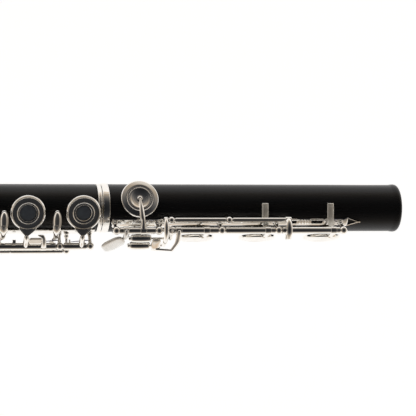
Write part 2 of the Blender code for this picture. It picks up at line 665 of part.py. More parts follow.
def make_c_sharp_key():
    hinge = Hinge("foot_c_sharp_key", FOOT_LINE, -FOOT_OPEN_DEG)
    key = hinge_tube("foot_c_sharp_key", hinge, 521.6, 545.2)
    make_foot_cup(key, hinge, "pad_foot_c_sharp", C_SHARP_X, FOOT_CUP_ANGLE, 538.8)
    arm = [
        (523.4, 11.5, 19.9, 3.0, 1.9), (523.2, 14.5, 19.5, 2.8, 1.5), (522.6, 17.0, 18.6, 2.6, 1.4),
        (520.2, 20.8, 16.9, 2.4, 1.3),
    ]
    add_bar(key, hinge, "touch_arm", arm, at_rest=True)
    add_plate(key, hinge, "bridge", side(515.4, 20.9, 16.9), 25.0, (12.0, 2.8, 1.3), 6.0)
    add_plate(key, hinge, "touch", side(512.0, 19.2, 17.4), 25.0, (5.2, 7.8, 1.3), 3.0)


def add_stop_tail(key, hinge, x):
    tail = [
        (x, 9.2, 18.4, 3.0, 1.6), (x, 6.4, 15.9, 3.4, 1.1), (x, 3.4, 14.55, 3.7, 0.9), (x, -2.0, 14.1, 3.7, 0.9),
        (x, -4.2, 13.7, 3.7, 0.9),
    ]
    add_bar(key, hinge, "stop_tail", tail, at_rest=True)


def make_c_foot_key():
    hinge = Hinge("foot_c_key", FOOT_LINE, -FOOT_OPEN_DEG)
    points = [
        (0, 578.7), (STEEL_R, 578.7), (STEEL_R, 576.9), (HINGE_R, 576.9), (HINGE_R, 549.4), (STEEL_R, 549.4),
        (STEEL_R, 521.3), (HINGE_R, 521.3), (HINGE_R, 517.9), (STEEL_R, 517.9), (STEEL_R, 512.8), (0, 512.8),
    ]
    key = turned_node("foot_c_key", points, SILVER, along_x(), hinge.empty, ring=False, steps=SMALL_SIDES)
    make_foot_cup(key, hinge, "pad_foot_c", C_FOOT_X, FOOT_CUP_ANGLE, 572.9)
    near, up = ROLLER_C
    arm = [(519.6, 10.4, 19.0, 2.6, 1.8), (519.6, 12.4, 18.3, 2.6, 1.5), (519.6, near + 0.6, up - 0.3, 2.4, 1.8)]
    add_bar(key, hinge, "lever", arm, at_rest=True)
    add_axle(key, hinge, ROLLER_C, 519.6)
    add_stop_tail(key, hinge, 572.4)
    make_roller("roller_c", hinge, ROLLER_C)


def make_b_key():
    hinge = Hinge("foot_b_key", FOOT_LINE, -FOOT_OPEN_DEG)
    key = hinge_tube("foot_b_key", hinge, 581.2, 613.5)
    make_foot_cup(key, hinge, "pad_foot_b", B_X, FOOT_CUP_ANGLE, 609.9)
    lug = [(584.5, 11.5, 19.2, 3.0, 1.8), (584.5, 12.8, 18.8, 3.0, 1.5), (584.5, 14.6, 18.3, 3.0, 1.3)]
    add_bar(key, hinge, "lug", lug, at_rest=True)
    add_stop_tail(key, hinge, 609.4)


def make_b_lever():
    """The B lever turns in two posts over the other foot keys, and presses on the B key's lug."""
    hinge = Hinge("foot_b_lever", LEVER_LINE, 0.0)
    pin = LEVER_R - 0.35
    points = [(0, 586.2), (LEVER_R, 586.2)]
    for x in reversed(LEVER_POSTS):
        points += [(LEVER_R, x + POST_END), (pin, x + POST_END), (pin, x - POST_END), (LEVER_R, x - POST_END)]
    points += [(LEVER_R, LEVER_POSTS[0] - POST_END - 2.3), (0, LEVER_POSTS[0] - POST_END - 2.3)]
    key = turned_node("foot_b_lever", points, SILVER, along_x(), hinge.empty, ring=False, steps=SMALL_SIDES)
    near, up = ROLLER_B
    arm = [
        (516.4, 4.6, 18.6, 2.2, 1.7), (516.4, 7.6, 21.9, 2.2, 1.2), (516.4, 11.6, 22.3, 2.2, 1.2),
        (516.4, 15.8, 18.9, 2.2, 1.3), (516.4, near, up, 2.2, 2.0), (516.4, near + 0.4, up - 0.8, 2.2, 1.6),
    ]
    add_bar(key, hinge, "lever", arm)
    add_axle(key, hinge, ROLLER_B, 516.4)
    link = [
        (584.5, 4.6, 18.6, 3.0, 1.7), (584.5, 7.4, 21.9, 3.0, 1.2), (584.5, 11.0, 22.2, 3.0, 1.2),
        (584.5, 14.2, 20.5, 3.0, 1.3),
    ]
    add_bar(key, hinge, "link", link)
    make_roller("roller_b", hinge, ROLLER_B)


make_head()
make_body_tube()
make_foot_tube()
make_ribs()
make_finger_keys()
make_c_key()
make_thumb_keys()
make_g_sharp_key()
make_trill_keys()
make_d_sharp_key()
make_c_sharp_key()
make_c_foot_key()
make_b_key()
make_b_lever()
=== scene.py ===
"""The looks of the concert flute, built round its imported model.

Lengths are in millimetres and MM turns them into metres. The frame is the model's: the origin is on the
bore axis under the embouchure hole, +X runs to the foot end, +Z through the finger keys, and -Y is the
player's side. Angles round the tube start at +Z and grow towards -Y.
"""

import json
import math

import bmesh
import bpy
from mathutils import Matrix, Vector


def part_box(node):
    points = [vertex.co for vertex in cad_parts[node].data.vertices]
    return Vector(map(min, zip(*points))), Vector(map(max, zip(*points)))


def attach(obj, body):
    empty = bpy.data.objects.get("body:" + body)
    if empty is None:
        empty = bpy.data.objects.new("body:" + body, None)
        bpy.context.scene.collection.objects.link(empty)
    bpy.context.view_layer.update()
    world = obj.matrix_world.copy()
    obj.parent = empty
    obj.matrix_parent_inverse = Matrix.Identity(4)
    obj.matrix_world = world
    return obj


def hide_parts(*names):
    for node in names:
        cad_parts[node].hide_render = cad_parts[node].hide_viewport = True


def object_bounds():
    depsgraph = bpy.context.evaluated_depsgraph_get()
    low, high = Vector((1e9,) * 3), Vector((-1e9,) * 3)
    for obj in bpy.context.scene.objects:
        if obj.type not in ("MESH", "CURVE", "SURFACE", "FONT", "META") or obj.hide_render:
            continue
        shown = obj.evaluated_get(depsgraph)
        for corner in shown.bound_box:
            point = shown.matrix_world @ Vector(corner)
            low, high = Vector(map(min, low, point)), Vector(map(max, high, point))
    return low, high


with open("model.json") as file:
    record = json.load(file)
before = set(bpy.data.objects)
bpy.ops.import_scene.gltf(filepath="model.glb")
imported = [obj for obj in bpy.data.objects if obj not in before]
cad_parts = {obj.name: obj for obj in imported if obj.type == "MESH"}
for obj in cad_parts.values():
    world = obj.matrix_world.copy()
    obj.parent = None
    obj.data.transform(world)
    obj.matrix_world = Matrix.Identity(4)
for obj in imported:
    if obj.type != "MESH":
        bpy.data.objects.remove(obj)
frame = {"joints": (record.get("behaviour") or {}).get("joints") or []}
cad_low, cad_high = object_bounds()

MM = 0.001
JOINTS = {joint["child"]: joint for joint in frame["joints"]}

# Leaves a shape where it is, and turns a lathe's axis to lie along the tube
AS_IT_IS, ALONG_X = Matrix.Identity(4), Matrix.Rotation(math.pi / 2, 4, "Y")

# Tube: its outer and inner radii, its rings, the roof of its chimneys, and the clearance between pieces
TUBE_R, BORE_R, HEAD_BORE_R = 13.0, 9.5, 8.5
RING_R, RIM = 13.4, 1.2
SEAT, GAP = 13.6, 0.3
RIB_IN, RIB_OUT = TUBE_R + 0.02, TUBE_R + 1.0

# Keys
CUP_LARGE, CUP_UPPER, CUP_FOOT, CUP_SMALL = 9.45, 8.6, 10.25, 5.4
HOLE_LARGE, HOLE_UPPER, HOLE_FOOT, HOLE_SMALL = 6.6, 6.0, 7.0, 3.5
HINGE_R, HINGE_BORE, STEEL_R = 1.95, 1.25, 0.9
TRILL_R, TRILL_BORE, LEVER_R = 1.6, 1.1, 1.35
THUMB_ANGLE, G_SHARP_ANGLE, TRILL_ANGLE = 150.0, -120.0, 130.0
D_SHARP_ANGLE, FOOT_CUP_ANGLE = -26.5, 80.0
STANDS_CLOSED = ("trill_d_key", "trill_d_sharp_key", "g_sharp_key", "foot_d_sharp_key", "foot_b_lever")

# How finely round things are made
TURN, CUP_TURN, ROD_TURN = 128, 72, 32


def polar(x, radius, angle):
    turn = math.radians(angle)
    return Vector((x, -radius * math.sin(turn), radius * math.cos(turn)))


def side(x, near, up):
    """A point by its distance towards the player and its height."""
    return Vector((x, -near, up))


def move(point):
    return Matrix.Translation(point * MM)


def facing(point, angle, yaw=0.0):
    lean = Matrix.Rotation(math.radians(angle), 4, "X")
    return move(point) @ lean @ Matrix.Rotation(math.radians(yaw), 4, "Z")


def radial(x, angle):
    return facing(side(x, 0, 0), angle)


def pointing(start, run):
    """Stands a lathe's axis at a point, along a run."""
    return move(start) @ run.to_track_quat("Z", "Y").to_matrix().to_4x4()


def ends(node):
    """The lowest and highest place of a CAD node along the tube, in millimetres."""
    low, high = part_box(node)
    return low.x / MM, high.x / MM


def middle(node):
    low, high = ends(node)
    return (low + high) / 2


def centre_of(node):
    """How far the middle of a CAD node is towards the player, and its height."""
    low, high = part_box(node)
    centre = (low + high) / 2 / MM
    return -centre.y, centre.z


def hinge_axis(key):
    _, y, z = JOINTS[key]["pos_m"]
    return Vector((0, y / MM, z / MM))


def mesh_from(shape, name):
    mesh = bpy.data.meshes.new(name)
    shape.to_mesh(mesh)
    shape.free()
    return mesh


def add_object(name, data):
    obj = bpy.data.objects.new(name, data)
    bpy.context.scene.collection.objects.link(obj)
    return obj


def closed(key):
    """Carries a shape of the closed key to where the key rests."""
    if key in STANDS_CLOSED:
        return AS_IT_IS
    opened = -math.radians(sum(JOINTS[key]["range_deg"]))
    axis = hinge_axis(key)
    return move(axis) @ Matrix.Rotation(opened, 4, "X") @ move(-axis)


# Materials

def shader_of(name, colour, roughness, metallic=0.0):
    made = bpy.data.materials.new(name)
    made.use_nodes = True
    shader = made.node_tree.nodes["Principled BSDF"]
    shader.inputs["Base Color"].default_value = (*colour, 1)
    shader.inputs["Roughness"].default_value = roughness
    shader.inputs["Metallic"].default_value = metallic
    return made, made.node_tree, shader


def noise(tree, scale, stretch=(1, 1, 1), detail=4.0, roughness=0.55):
    """Noise in the flute's own frame, stretched along its axes."""
    place = tree.nodes.new("ShaderNodeTexCoord")
    mapping = tree.nodes.new("ShaderNodeMapping")
    mapping.inputs["Scale"].default_value = stretch
    texture = tree.nodes.new("ShaderNodeTexNoise")
    texture.inputs["Scale"].default_value = scale
    texture.inputs["Detail"].default_value = detail
    texture.inputs["Roughness"].default_value = roughness
    tree.links.new(place.outputs["Object"], mapping.inputs["Vector"])
    tree.links.new(mapping.outputs["Vector"], texture.inputs["Vector"])
    return texture.outputs["Fac"]


def ramp(tree, value, stops):
    made = tree.nodes.new("ShaderNodeValToRGB")
    elements = made.color_ramp.elements
    for i, (place, colour) in enumerate(stops):
        element = elements[i] if i < 2 else elements.new(place)
        element.position = place
        element.color = (*colour, 1)
    tree.links.new(value, made.inputs["Fac"])
    return made.outputs["Color"]


def spread(tree, value, low, high):
    made = tree.nodes.new("ShaderNodeMapRange")
    made.inputs["From Min"].default_value = 0.3
    made.inputs["From Max"].default_value = 0.7
    made.inputs["To Min"].default_value = low
    made.inputs["To Max"].default_value = high
    tree.links.new(value, made.inputs["Value"])
    return made.outputs["Result"]


def surface(name, base, shine, tone, stops, wear, grain=None, specular=None):
    """A material led by noise: shine is its roughness and metallic value, tone the noise of its colour stops,
    wear the noise and range of its roughness, and grain the noise, strength and depth of its bump."""
    made, tree, shader = shader_of(name, base, *shine)
    tree.links.new(ramp(tree, noise(tree, *tone), stops), shader.inputs["Base Color"])
    marks, low, high = wear
    tree.links.new(spread(tree, noise(tree, *marks), low, high), shader.inputs["Roughness"])
    if specular is not None:
        shader.inputs["Specular IOR Level"].default_value = specular
    if grain:
        lines, strength, depth = grain
        relief = tree.nodes.new("ShaderNodeBump")
        relief.inputs["Strength"].default_value = strength
        relief.inputs["Distance"].default_value = depth
        tree.links.new(noise(tree, *lines), relief.inputs["Height"])
        tree.links.new(relief.outputs["Normal"], shader.inputs["Normal"])
    return made


EVEN, MATT, METAL = (1, 1, 1), 0.0, 1.0

# Near-black oiled wood with dark brown figure and fine pores along the grain
WOOD = surface(
    "grenadilla", (0.006, 0.005, 0.005), (0.34, MATT), (1.0, (14, 260, 260), 6.0),
    [(0.30, (0.0125, 0.0135, 0.0155)), (0.62, (0.0150, 0.0146, 0.0154)), (0.80, (0.0215, 0.0168, 0.0146))],
    ((1.0, (40, 500, 500), 3.0), 0.22, 0.33), ((1.0, (300, 5200, 5200), 2.0), 0.10, 0.00005), 0.26)

# Polished silver plate: a faint warm bloom, wiping marks and hairline scratches
SILVER = surface(
    "silver_plate", (0.92, 0.90, 0.86), (0.10, METAL), (90.0, EVEN, 5.0),
    [(0.35, (0.96, 0.945, 0.915)), (0.60, (0.93, 0.90, 0.85)), (0.78, (0.86, 0.79, 0.68))],
    ((260.0, EVEN, 6.0), 0.055, 0.15), ((1.0, (900, 3200, 3200), 3.0), 0.05, 0.00003))

# Worn plate on the touches, dulled by fingers
SATIN = surface(
    "satin_silver", (0.86, 0.86, 0.85), (0.30, METAL), (160.0, EVEN, 5.0),
    [(0.35, (0.90, 0.90, 0.89)), (0.72, (0.80, 0.79, 0.76))],
    ((420.0,), 0.22, 0.36), ((1.0, (2600, 1400, 2600), 3.0), 0.08, 0.00003))

# Plate left brushed on the flat tails that stop the open keys
BRUSHED = surface(
    "brushed_silver", (0.95, 0.94, 0.90), (0.72, METAL), (200.0, EVEN, 5.0),
    [(0.35, (0.98, 0.97, 0.93)), (0.72, (0.90, 0.87, 0.80))],
    ((1.0, (3000, 500, 500)), 0.64, 0.80), ((1.0, (5200, 700, 700), 3.0), 0.10, 0.00003))

# Ground pivot steel, with rings left by the grinding along its length
STEEL = surface(
    "pivot_steel", (0.48, 0.48, 0.49), (0.26, METAL), (300.0,),
    [(0.35, (0.55, 0.55, 0.57)), (0.70, (0.36, 0.36, 0.38))],
    ((1.0, (4000, 300, 300)), 0.20, 0.36), ((1.0, (6000, 200, 200), 2.0), 0.06, 0.00002))

# Needle springs, blued by heat
BLUED = surface(
    "blued_steel", (0.06, 0.08, 0.20), (0.22, METAL), (120.0,),
    [(0.35, (0.05, 0.07, 0.22)), (0.70, (0.14, 0.10, 0.16))], ((700.0,), 0.16, 0.30))

# Bladder skin over felt: straw-coloured, thin and slightly creased
PAD = surface(
    "pad_skin", (0.78, 0.68, 0.48), (0.46, MATT), (420.0, EVEN, 6.0),
    [(0.30, (0.84, 0.75, 0.55)), (0.75, (0.66, 0.52, 0.31))],
    ((900.0,), 0.36, 0.58), ((1100.0, EVEN, 6.0), 0.30, 0.00012))

CORK = surface(
    "cork", (0.50, 0.32, 0.17), (0.85, MATT), (700.0, EVEN, 7.0, 0.7),
    [(0.36, (0.20, 0.11, 0.05)), (0.48, (0.50, 0.32, 0.17)), (0.75, (0.62, 0.43, 0.25))],
    ((500.0,), 0.70, 0.92), ((1500.0, EVEN, 6.0), 0.5, 0.0002))

# Blue-grey silicone of the plugs in the open keys
RUBBER = surface(
    "plug_rubber", (0.095, 0.115, 0.145), (0.55, MATT), (260.0, EVEN, 5.0),
    [(0.35, (0.115, 0.145, 0.185)), (0.72, (0.088, 0.106, 0.138))],
    ((700.0,), 0.46, 0.64), ((1500.0, EVEN, 4.0), 0.12, 0.00004))


# Outlines

def soften(points, radius, ring=False, cuts=3):
    """Rounds the corners of an outline, with arcs that never pass half of a side."""
    out, count = [], len(points)
    for i, (a, b) in enumerate(points):
        here = Vector((a, b))
        if not ring and i in (0, count - 1):
            out.append((a, b))
            continue
        before, after = Vector(points[i - 1]), Vector(points[(i + 1) % count])
        reach = min(radius, (before - here).length * 0.45, (after - here).length * 0.45)
        start = here + (before - here).normalized() * reach
        end = here + (after - here).normalized() * reach
        for k in range(cuts + 1):
            t = k / cuts
            out.append(tuple((1 - t) ** 2 * start + 2 * t * (1 - t) * here + t ** 2 * end))
    return out


def tube_profile(x0, x1, outer, inner):
    return [(outer, x1), (outer, x0), (inner, x0), (inner, x1)]


def smooth_path(stations, per_span=5):
    """Points of a Catmull-Rom curve through the stations, whose every number is blended."""
    out = []
    for i in range(len(stations) - 1):
        p0, p1 = stations[max(i - 1, 0)], stations[i]
        p2, p3 = stations[i + 1], stations[min(i + 2, len(stations) - 1)]
        for k in range(per_span):
            t = k / per_span
            out.append(tuple(
                0.5 * (2 * b + (c - a) * t + (2 * a - 5 * b + 4 * c - d) * t ** 2
                       + (3 * b - a - 3 * c + d) * t ** 3)
                for a, b, c, d in zip(p0, p1, p2, p3)
            ))
    out.append(stations[-1])
    return out


def superellipse(half_x, half_y, power, count):
    def bent(value):
        return math.copysign(abs(value) ** (2 / power), value)

    turns = [2 * math.pi * (i + 0.5) / count for i in range(count)]
    return [(bent(math.cos(a)) * half_x, bent(math.sin(a)) * half_y) for a in turns]


class Piece:
    """A visible piece of one material, gathered from closed shapes."""

    def __init__(self, name, look):
        self.name, self.look, self.shape = name, look, bmesh.new()

    def add_verts(self, matrix, ring):
        return [self.shape.verts.new(matrix @ (Vector(p) * MM)) for p in ring]

    def skin(self, rings, close_rings=False, matrix=AS_IT_IS, tips=()):
        """Joins rings of points in millimetres. The ends are capped, unless they meet or come to tips."""
        verts = [self.add_verts(matrix, ring) for ring in rings]
        faces = []
        for first, second in zip(verts, verts[1:] + (verts[:1] if close_rings else [])):
            for a, b, c, d in zip(first, first[1:] + first[:1], second[1:] + second[:1], second):
                faces.append(self.shape.faces.new((a, b, c, d)))
        for end, tip in zip((verts[0], verts[-1]), self.add_verts(matrix, tips)):
            faces += [self.shape.faces.new((tip, a, b)) for a, b in zip(end, end[1:] + end[:1])]
        if not (close_rings or tips):
            faces += [self.shape.faces.new(end) for end in (verts[0][::-1], verts[-1])]
        bmesh.ops.recalc_face_normals(self.shape, faces=faces)
        return self

    def lathe(self, points, matrix, steps=CUP_TURN, ring=True, round_by=0.12):
        """Turns an outline of radius and height about Z. An open outline starts and ends on the axis."""
        points = soften(points, round_by, ring) if round_by else points
        turns = [2 * math.pi * k / steps for k in range(steps)]
        rings = [[(r * math.cos(a), r * math.sin(a), z) for a in turns] for r, z in points]
        if ring:
            return self.skin(rings, True, matrix)
        return self.skin(rings[1:-1], matrix=matrix, tips=[(0, 0, points[0][1]), (0, 0, points[-1][1])])

    def bar(self, stations, matrix=AS_IT_IS, power=3.6, count=16, per_span=5):
        """A bar with rounded edges through stations of x, near, up, width along X and thickness."""
        path = smooth_path(stations, per_span)
        runs = []
        for i in range(len(path)):
            a, b = path[max(i - 1, 0)], path[min(i + 1, len(path) - 1)]
            runs.append(Vector((b[1] - a[1], b[2] - a[2])).normalized())

        def ring(i, shrink=0.0, shift=0.0):
            """The section at a station, made smaller and pushed along the bar by parts of its lesser size."""
            (x, near, up, width, thick), run = path[i], runs[i]
            lesser = min(width, thick)
            near, up = near + run.x * shift * lesser, up + run.y * shift * lesser
            edge = lesser * 0.5 * shrink
            outline = superellipse(max(width / 2 - edge, 0.05), max(thick / 2 - edge, 0.05), power, count)
            return [tuple(side(x + a, near - b * run.y, up + b * run.x)) for a, b in outline]

        rings = [ring(0, 0.55, -0.30), ring(0, 0.16, -0.16)]
        rings += [ring(i) for i in range(len(path))]
        rings += [ring(-1, 0.16, 0.16), ring(-1, 0.55, 0.30)]
        return self.skin(rings, matrix=matrix)

    def stack(self, matrix, half_x, half_y, steps, power, count):
        """Outlines of a touch, each drawn in from its edge by the first number of a step, at its height."""
        rings = [[(x, y, z) for x, y in superellipse(half_x - d, half_y - d, power, count)] for d, z in steps]
        return self.skin(rings, matrix=matrix)

    def plate(self, matrix, size, power=2.4, crown=0.25, count=48):
        """A touch plate with rounded edges and a slightly domed top."""
        a, b, top = (value / 2 for value in size)
        edge = min(top * 0.9, 0.6)
        steps = [(edge, -top), (edge * 0.3, -top + edge * 0.3), (0, -top + edge), (0, top - edge),
                 (edge * 0.3, top - edge * 0.3), (edge, top)]
        inner = min(a, b) - edge
        steps += [(edge + inner * f, top + crown * (1 - (1 - f) ** 2)) for f in (0.3, 0.6, 0.9)]
        return self.stack(matrix, a, b, steps, power, count)

    def dish(self, matrix, size, rim, depth):
        """An oval touch with a rounded rim round a dished middle."""
        a, b, top = (value / 2 for value in size)
        steps = [(rim, -top), (rim * 0.3, -top * 0.7), (0, -top * 0.2), (0, top - rim),
                 (rim * 0.3, top - rim * 0.3), (rim, top), (rim * 1.6, top - rim * 0.25),
                 (rim * 2.1, top - depth * 0.7), (a * 0.62, top - depth), (a * 0.93, top - depth)]
        return self.stack(matrix, a, b, steps, 2.1, 48)

    def rod(self, start, end, radius, radius_end=None, steps=16):
        run = end - start
        top = radius if radius_end is None else radius_end
        points = [(0, run.length), (top, run.length), (radius, 0), (0, 0)]
        return self.lathe(points, pointing(start, run), steps, False, 0.15)

    def wire(self, points, radius):
        """A round wire through points, thinning to its tip."""
        path = [Vector(p) for p in smooth_path([tuple(p) for p in points])]
        rings = []
        for i, here in enumerate(path):
            run = (path[min(i + 1, len(path) - 1)] - path[max(i - 1, 0)]).normalized()
            across = run.cross(Vector((0.13, 0.71, 0.69))).normalized()
            over = run.cross(across)
            r = radius * (1 - 0.45 * i / len(path))
            turns = [math.pi * k / 4 for k in range(8)]
            rings.append([tuple(here + (across * math.cos(a) + over * math.sin(a)) * r) for a in turns])
        return self.skin(rings)

    def strap(self, stations, inner=RIB_IN, outer=RIB_OUT, steps=14):
        """A strip bent round the tube. Stations are x, its edges' angles, and how far its top is lowered."""
        rings = []
        for x, low, high, drop in stations:
            angles = [low + (high - low) * i / steps for i in range(steps + 1)]
            top = [polar(x, outer - drop - (0.22 if i in (0, steps) else 0), a) for i, a in enumerate(angles)]
            rings.append([tuple(p) for p in top] + [tuple(polar(x, inner, a)) for a in reversed(angles)])
        return self.skin(rings)

    def make(self, body, *nodes):
        bmesh.ops.remove_doubles(self.shape, verts=self.shape.verts, dist=1e-8)
        mesh = mesh_from(self.shape, self.name)
        mesh.materials.append(self.look)
        mesh.shade_smooth()
        mesh.set_sharp_from_angle(angle=math.radians(38))
        obj = add_object(self.name, mesh)
        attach(obj, body)
        if nodes:
            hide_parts(*nodes)
        return obj


def turned(node, ending, look, body, outline, round_by=0.12, steps=TURN, ring=True):
    """A piece turned about the bore axis for a CAD node, from an outline of radius and x."""
    return Piece(f"{node}_{ending}", look).lathe(outline, ALONG_X, steps, ring, round_by).make(body, node)


# Wooden tubes

def drill(obj, specs):
    """Adds the chimneys of tone holes to a turned tube, and bores them through."""
    chimneys, bores = Piece("chimneys", WOOD), Piece("bores", WOOD)
    for x, angle, hole in specs:
        outer, matrix = hole + RIM, radial(x, angle)
        foot = max(math.sqrt(TUBE_R ** 2 - outer ** 2) - 0.25, BORE_R + 0.15)
        chimney = [(0, SEAT), (outer, SEAT), (outer, foot), (0, foot)]
        chimneys.lathe(chimney, matrix, ring=False, round_by=0.35)
        bores.lathe([(0, SEAT + 3), (hole, SEAT + 3), (hole, 3), (0, 3)], matrix, ring=False, round_by=0)
    change(obj, UNION=chimneys, DIFFERENCE=bores)


def change(obj, **operations):
    """Joins or cuts a piece with closed shapes, in the order given."""
    helpers = []
    for operation, piece in operations.items():
        helper = add_object(piece.name, mesh_from(piece.shape, piece.name))
        helpers.append(helper)
        modifier = obj.modifiers.new(piece.name, "BOOLEAN")
        modifier.operation = operation
        modifier.solver = "EXACT"
        modifier.object = helper
    bpy.context.view_layer.update()
    evaluated = obj.evaluated_get(bpy.context.evaluated_depsgraph_get())
    mesh = bpy.data.meshes.new_from_object(evaluated)
    obj.modifiers.clear()
    obj.data = mesh
    mesh.shade_smooth()
    mesh.set_sharp_from_angle(angle=math.radians(32))
    for helper in helpers:
        bpy.data.objects.remove(helper)


def make_head():
    low, high = ends("head_tube")
    tenon_x, tenon_end = ends("head_tenon")
    tenon_r, swell = 10.4, TUBE_R + 0.7
    outline = [
        (TUBE_R, high), (TUBE_R, 60), (swell, 12), (swell, -14), (TUBE_R, low), (HEAD_BORE_R, low),
        (HEAD_BORE_R, 8), (BORE_R, tenon_x - GAP), (tenon_r + GAP, tenon_x - GAP), (tenon_r + GAP, high),
    ]
    head = turned("head_tube", "wood", WOOD, "head_joint", outline, 0.4)
    half_wide, half_long = 5.1, 6.1
    embouchure = [(0, 20), (half_wide - 0.4, 20), (half_wide, 12.8), (half_wide + 0.6, 3), (0, 3)]
    oval = Matrix.Diagonal((half_long / half_wide, 1, 1, 1))
    change(head, DIFFERENCE=Piece("embouchure", WOOD).lathe(embouchure, oval, ring=False, round_by=0))
    turned("head_tenon", "silver", SILVER, "head_joint",
           tube_profile(tenon_x, tenon_end, tenon_r, BORE_R), 0.25)

    low, high = ends("head_ring")
    ring = [(RING_R, high), (RING_R, high - 1.2), (RING_R - 0.25, high - 1.5), (RING_R, high - 1.8),
            (RING_R, low), (tenon_r + GAP, low), (tenon_r + GAP, high)]
    turned("head_ring", "silver", SILVER, "head_joint", ring, 0.3)

    low, high = ends("stopper_cork")
    turned("stopper_cork", "plug", CORK, "head_joint",
           tube_profile(low, high, HEAD_BORE_R - 0.2, 2.3), steps=CUP_TURN)

    low, high = ends("stopper_screw")
    plate_r, crest, root, pitch = 8.1, 2.0, 1.7, 0.7
    screw = [(0, high), (plate_r, high), (plate_r, high - 1.1), (crest, high - 1.1)]
    for i in range(int((high - 2 - low) / pitch)):
        screw += [(crest, high - 1.6 - pitch * i), (root, high - 1.6 - pitch * (i + 0.5))]
    screw += [(root - 0.1, low), (0, low)]
    turned("stopper_screw", "steel", STEEL, "head_joint", screw, 0.05, CUP_TURN, False)

    low, high = ends("crown_cap")
    joint, groove_r = high - 6.3, TUBE_R - 0.5
    crown = [(0, low + 5), (2.3, low + 5), (2.3, high), (plate_r, high), (plate_r, joint), (TUBE_R, joint),
             (TUBE_R, joint - 1.6), (groove_r, joint - 2.1), (groove_r, joint - 3), (TUBE_R, joint - 3.5),
             (TUBE_R, low + 4), (TUBE_R - 1.2, low + 1.8), (TUBE_R - 3.5, low + 0.6), (TUBE_R - 7, low),
             (0, low)]
    turned("crown_cap", "wood", WOOD, "crown", crown, 0.6, ring=False)


def make_body():
    low, high = ends("body_tube")
    ring_low, ring_high = ends("body_lower_ring")
    lining_end, socket_ring_end = ends("socket_lining")[1], ends("socket_ring")[1]
    tenon_r, socket_r, step_r = 10.9, 11.6, TUBE_R - 0.8
    holes = [(middle(f"pad_{note}"), angle, hole) for notes, angle, hole in (
        (("f_sharp", "f", "e", "d"), 0.0, HOLE_LARGE), (("b_flat", "a", "g", "g_second"), 0.0, HOLE_UPPER),
        (("trill_d_sharp", "trill_d"), TRILL_ANGLE, HOLE_SMALL), (("c",), 0.0, HOLE_SMALL),
        (("thumb_b",), THUMB_ANGLE, HOLE_UPPER), (("g_sharp",), G_SHARP_ANGLE, HOLE_UPPER),
    ) for note in notes]
    outline = [
        (tenon_r - 0.5, high), (tenon_r - 0.5, ring_high + 1.5), (tenon_r, ring_high + 1.5),
        (tenon_r, ring_high - 0.2), (step_r, ring_high - 0.2), (step_r, ring_low - GAP),
        (TUBE_R, ring_low - GAP), (TUBE_R, socket_ring_end + GAP), (TUBE_R - 0.5, socket_ring_end + GAP),
        (TUBE_R - 0.5, low), (socket_r, low), (socket_r, lining_end + GAP), (BORE_R, lining_end + GAP),
        (BORE_R, high),
    ]
    wood = turned("body_tube", "wood", WOOD, "body_joint", soften(outline, 0.15, True, 2), 0)
    drill(wood, holes)

    low, high = ends("socket_lining")
    turned("socket_lining", "silver", SILVER, "body_joint", tube_profile(low, high, 11.3, 10.6), 0.22)
    low, high = ends("socket_ring")
    grooved = [(RING_R, high)]
    for x in (high - 1.2, low + 1.2):
        grooved += [(RING_R, x + 0.15), (RING_R - 0.2, x), (RING_R, x - 0.15)]
    grooved += [(RING_R, low), (TUBE_R - 0.2, low), (TUBE_R - 0.2, high)]
    turned("socket_ring", "silver", SILVER, "body_joint", grooved, 0.22)

    low, high = ring_low, ring_high
    waist, core = TUBE_R - 0.05, TUBE_R - 0.5
    beads = [(RING_R - 0.15, high), (RING_R, high - 0.25), (RING_R - 0.1, high - 0.5), (waist, high - 0.75),
             (waist, low + 0.8), (RING_R - 0.1, low + 0.5), (RING_R, low + 0.25), (RING_R - 0.15, low),
             (core, low), (core, high)]
    turned("body_lower_ring", "silver", SILVER, "body_joint", beads)
    low, high = ends("tenon_cork")
    cork = tube_profile(low, high, tenon_r, tenon_r - 0.4)
    turned("tenon_cork", "lap", CORK, "body_joint", cork)


def make_foot():
    low, high = ends("foot_tube")
    cork_end = ends("tenon_cork")[1]
    socket_r, flare = 11.2, RING_R - 0.1
    bead = [(flare - 1.6, high), (flare - 0.9, high - 0.25), (flare - 0.3, high - 0.9), (flare, high - 1.8),
            (flare, high - 2.9), (flare - 0.1, high - 3.6), (TUBE_R, high - 4.6)]
    bore = [(TUBE_R, low), (socket_r, low), (socket_r, cork_end + 1.3), (BORE_R, cork_end + 1.3),
            (BORE_R, high - 0.8), (BORE_R + 0.5, high)]
    holes = [(middle("pad_foot_d_sharp"), D_SHARP_ANGLE, HOLE_FOOT)]
    holes += [(middle(f"pad_foot_{note}"), FOOT_CUP_ANGLE, HOLE_FOOT) for note in ("c_sharp", "c", "b")]
    drill(turned("foot_tube", "wood", WOOD, "foot_joint", bead + bore, 0.2), holes)
    low, high = ends("foot_ring")
    ring = [(RING_R - 0.15, high), (RING_R, high - 0.3), (RING_R + 0.05, (low + high) / 2),
            (RING_R, low + 0.3), (RING_R - 0.15, low), (socket_r, low), (socket_r, high)]
    turned("foot_ring", "silver", SILVER, "foot_joint", ring, 0.1)


# Ribs, posts, steels and springs

# Each hinge line by its distance from the bore axis and its angle
MAIN_LINE, TRILL_LINE, THUMB_LINE = (22.5, 58.5), (23.3, 75.5), (22.5, 92.0)
G_SHARP_LINE, FOOT_LINE, LEVER_LINE = (22.0, -62.0), (21.5, 26.9), (18.5, 13.1)
MAIN_POSTS = (234.5, 251.5, 286.0, 374.5, 460.1, 476.6)
TRILL_POSTS, THUMB_POSTS, G_SHARP_POSTS = (203.5, 464.5), (270.5, 317.0), (350.0, 396.0)
FOOT_POSTS, LEVER_POSTS = (489.5, 512.7, 547.3, 579.0, 615.7), (519.6, 551.5)

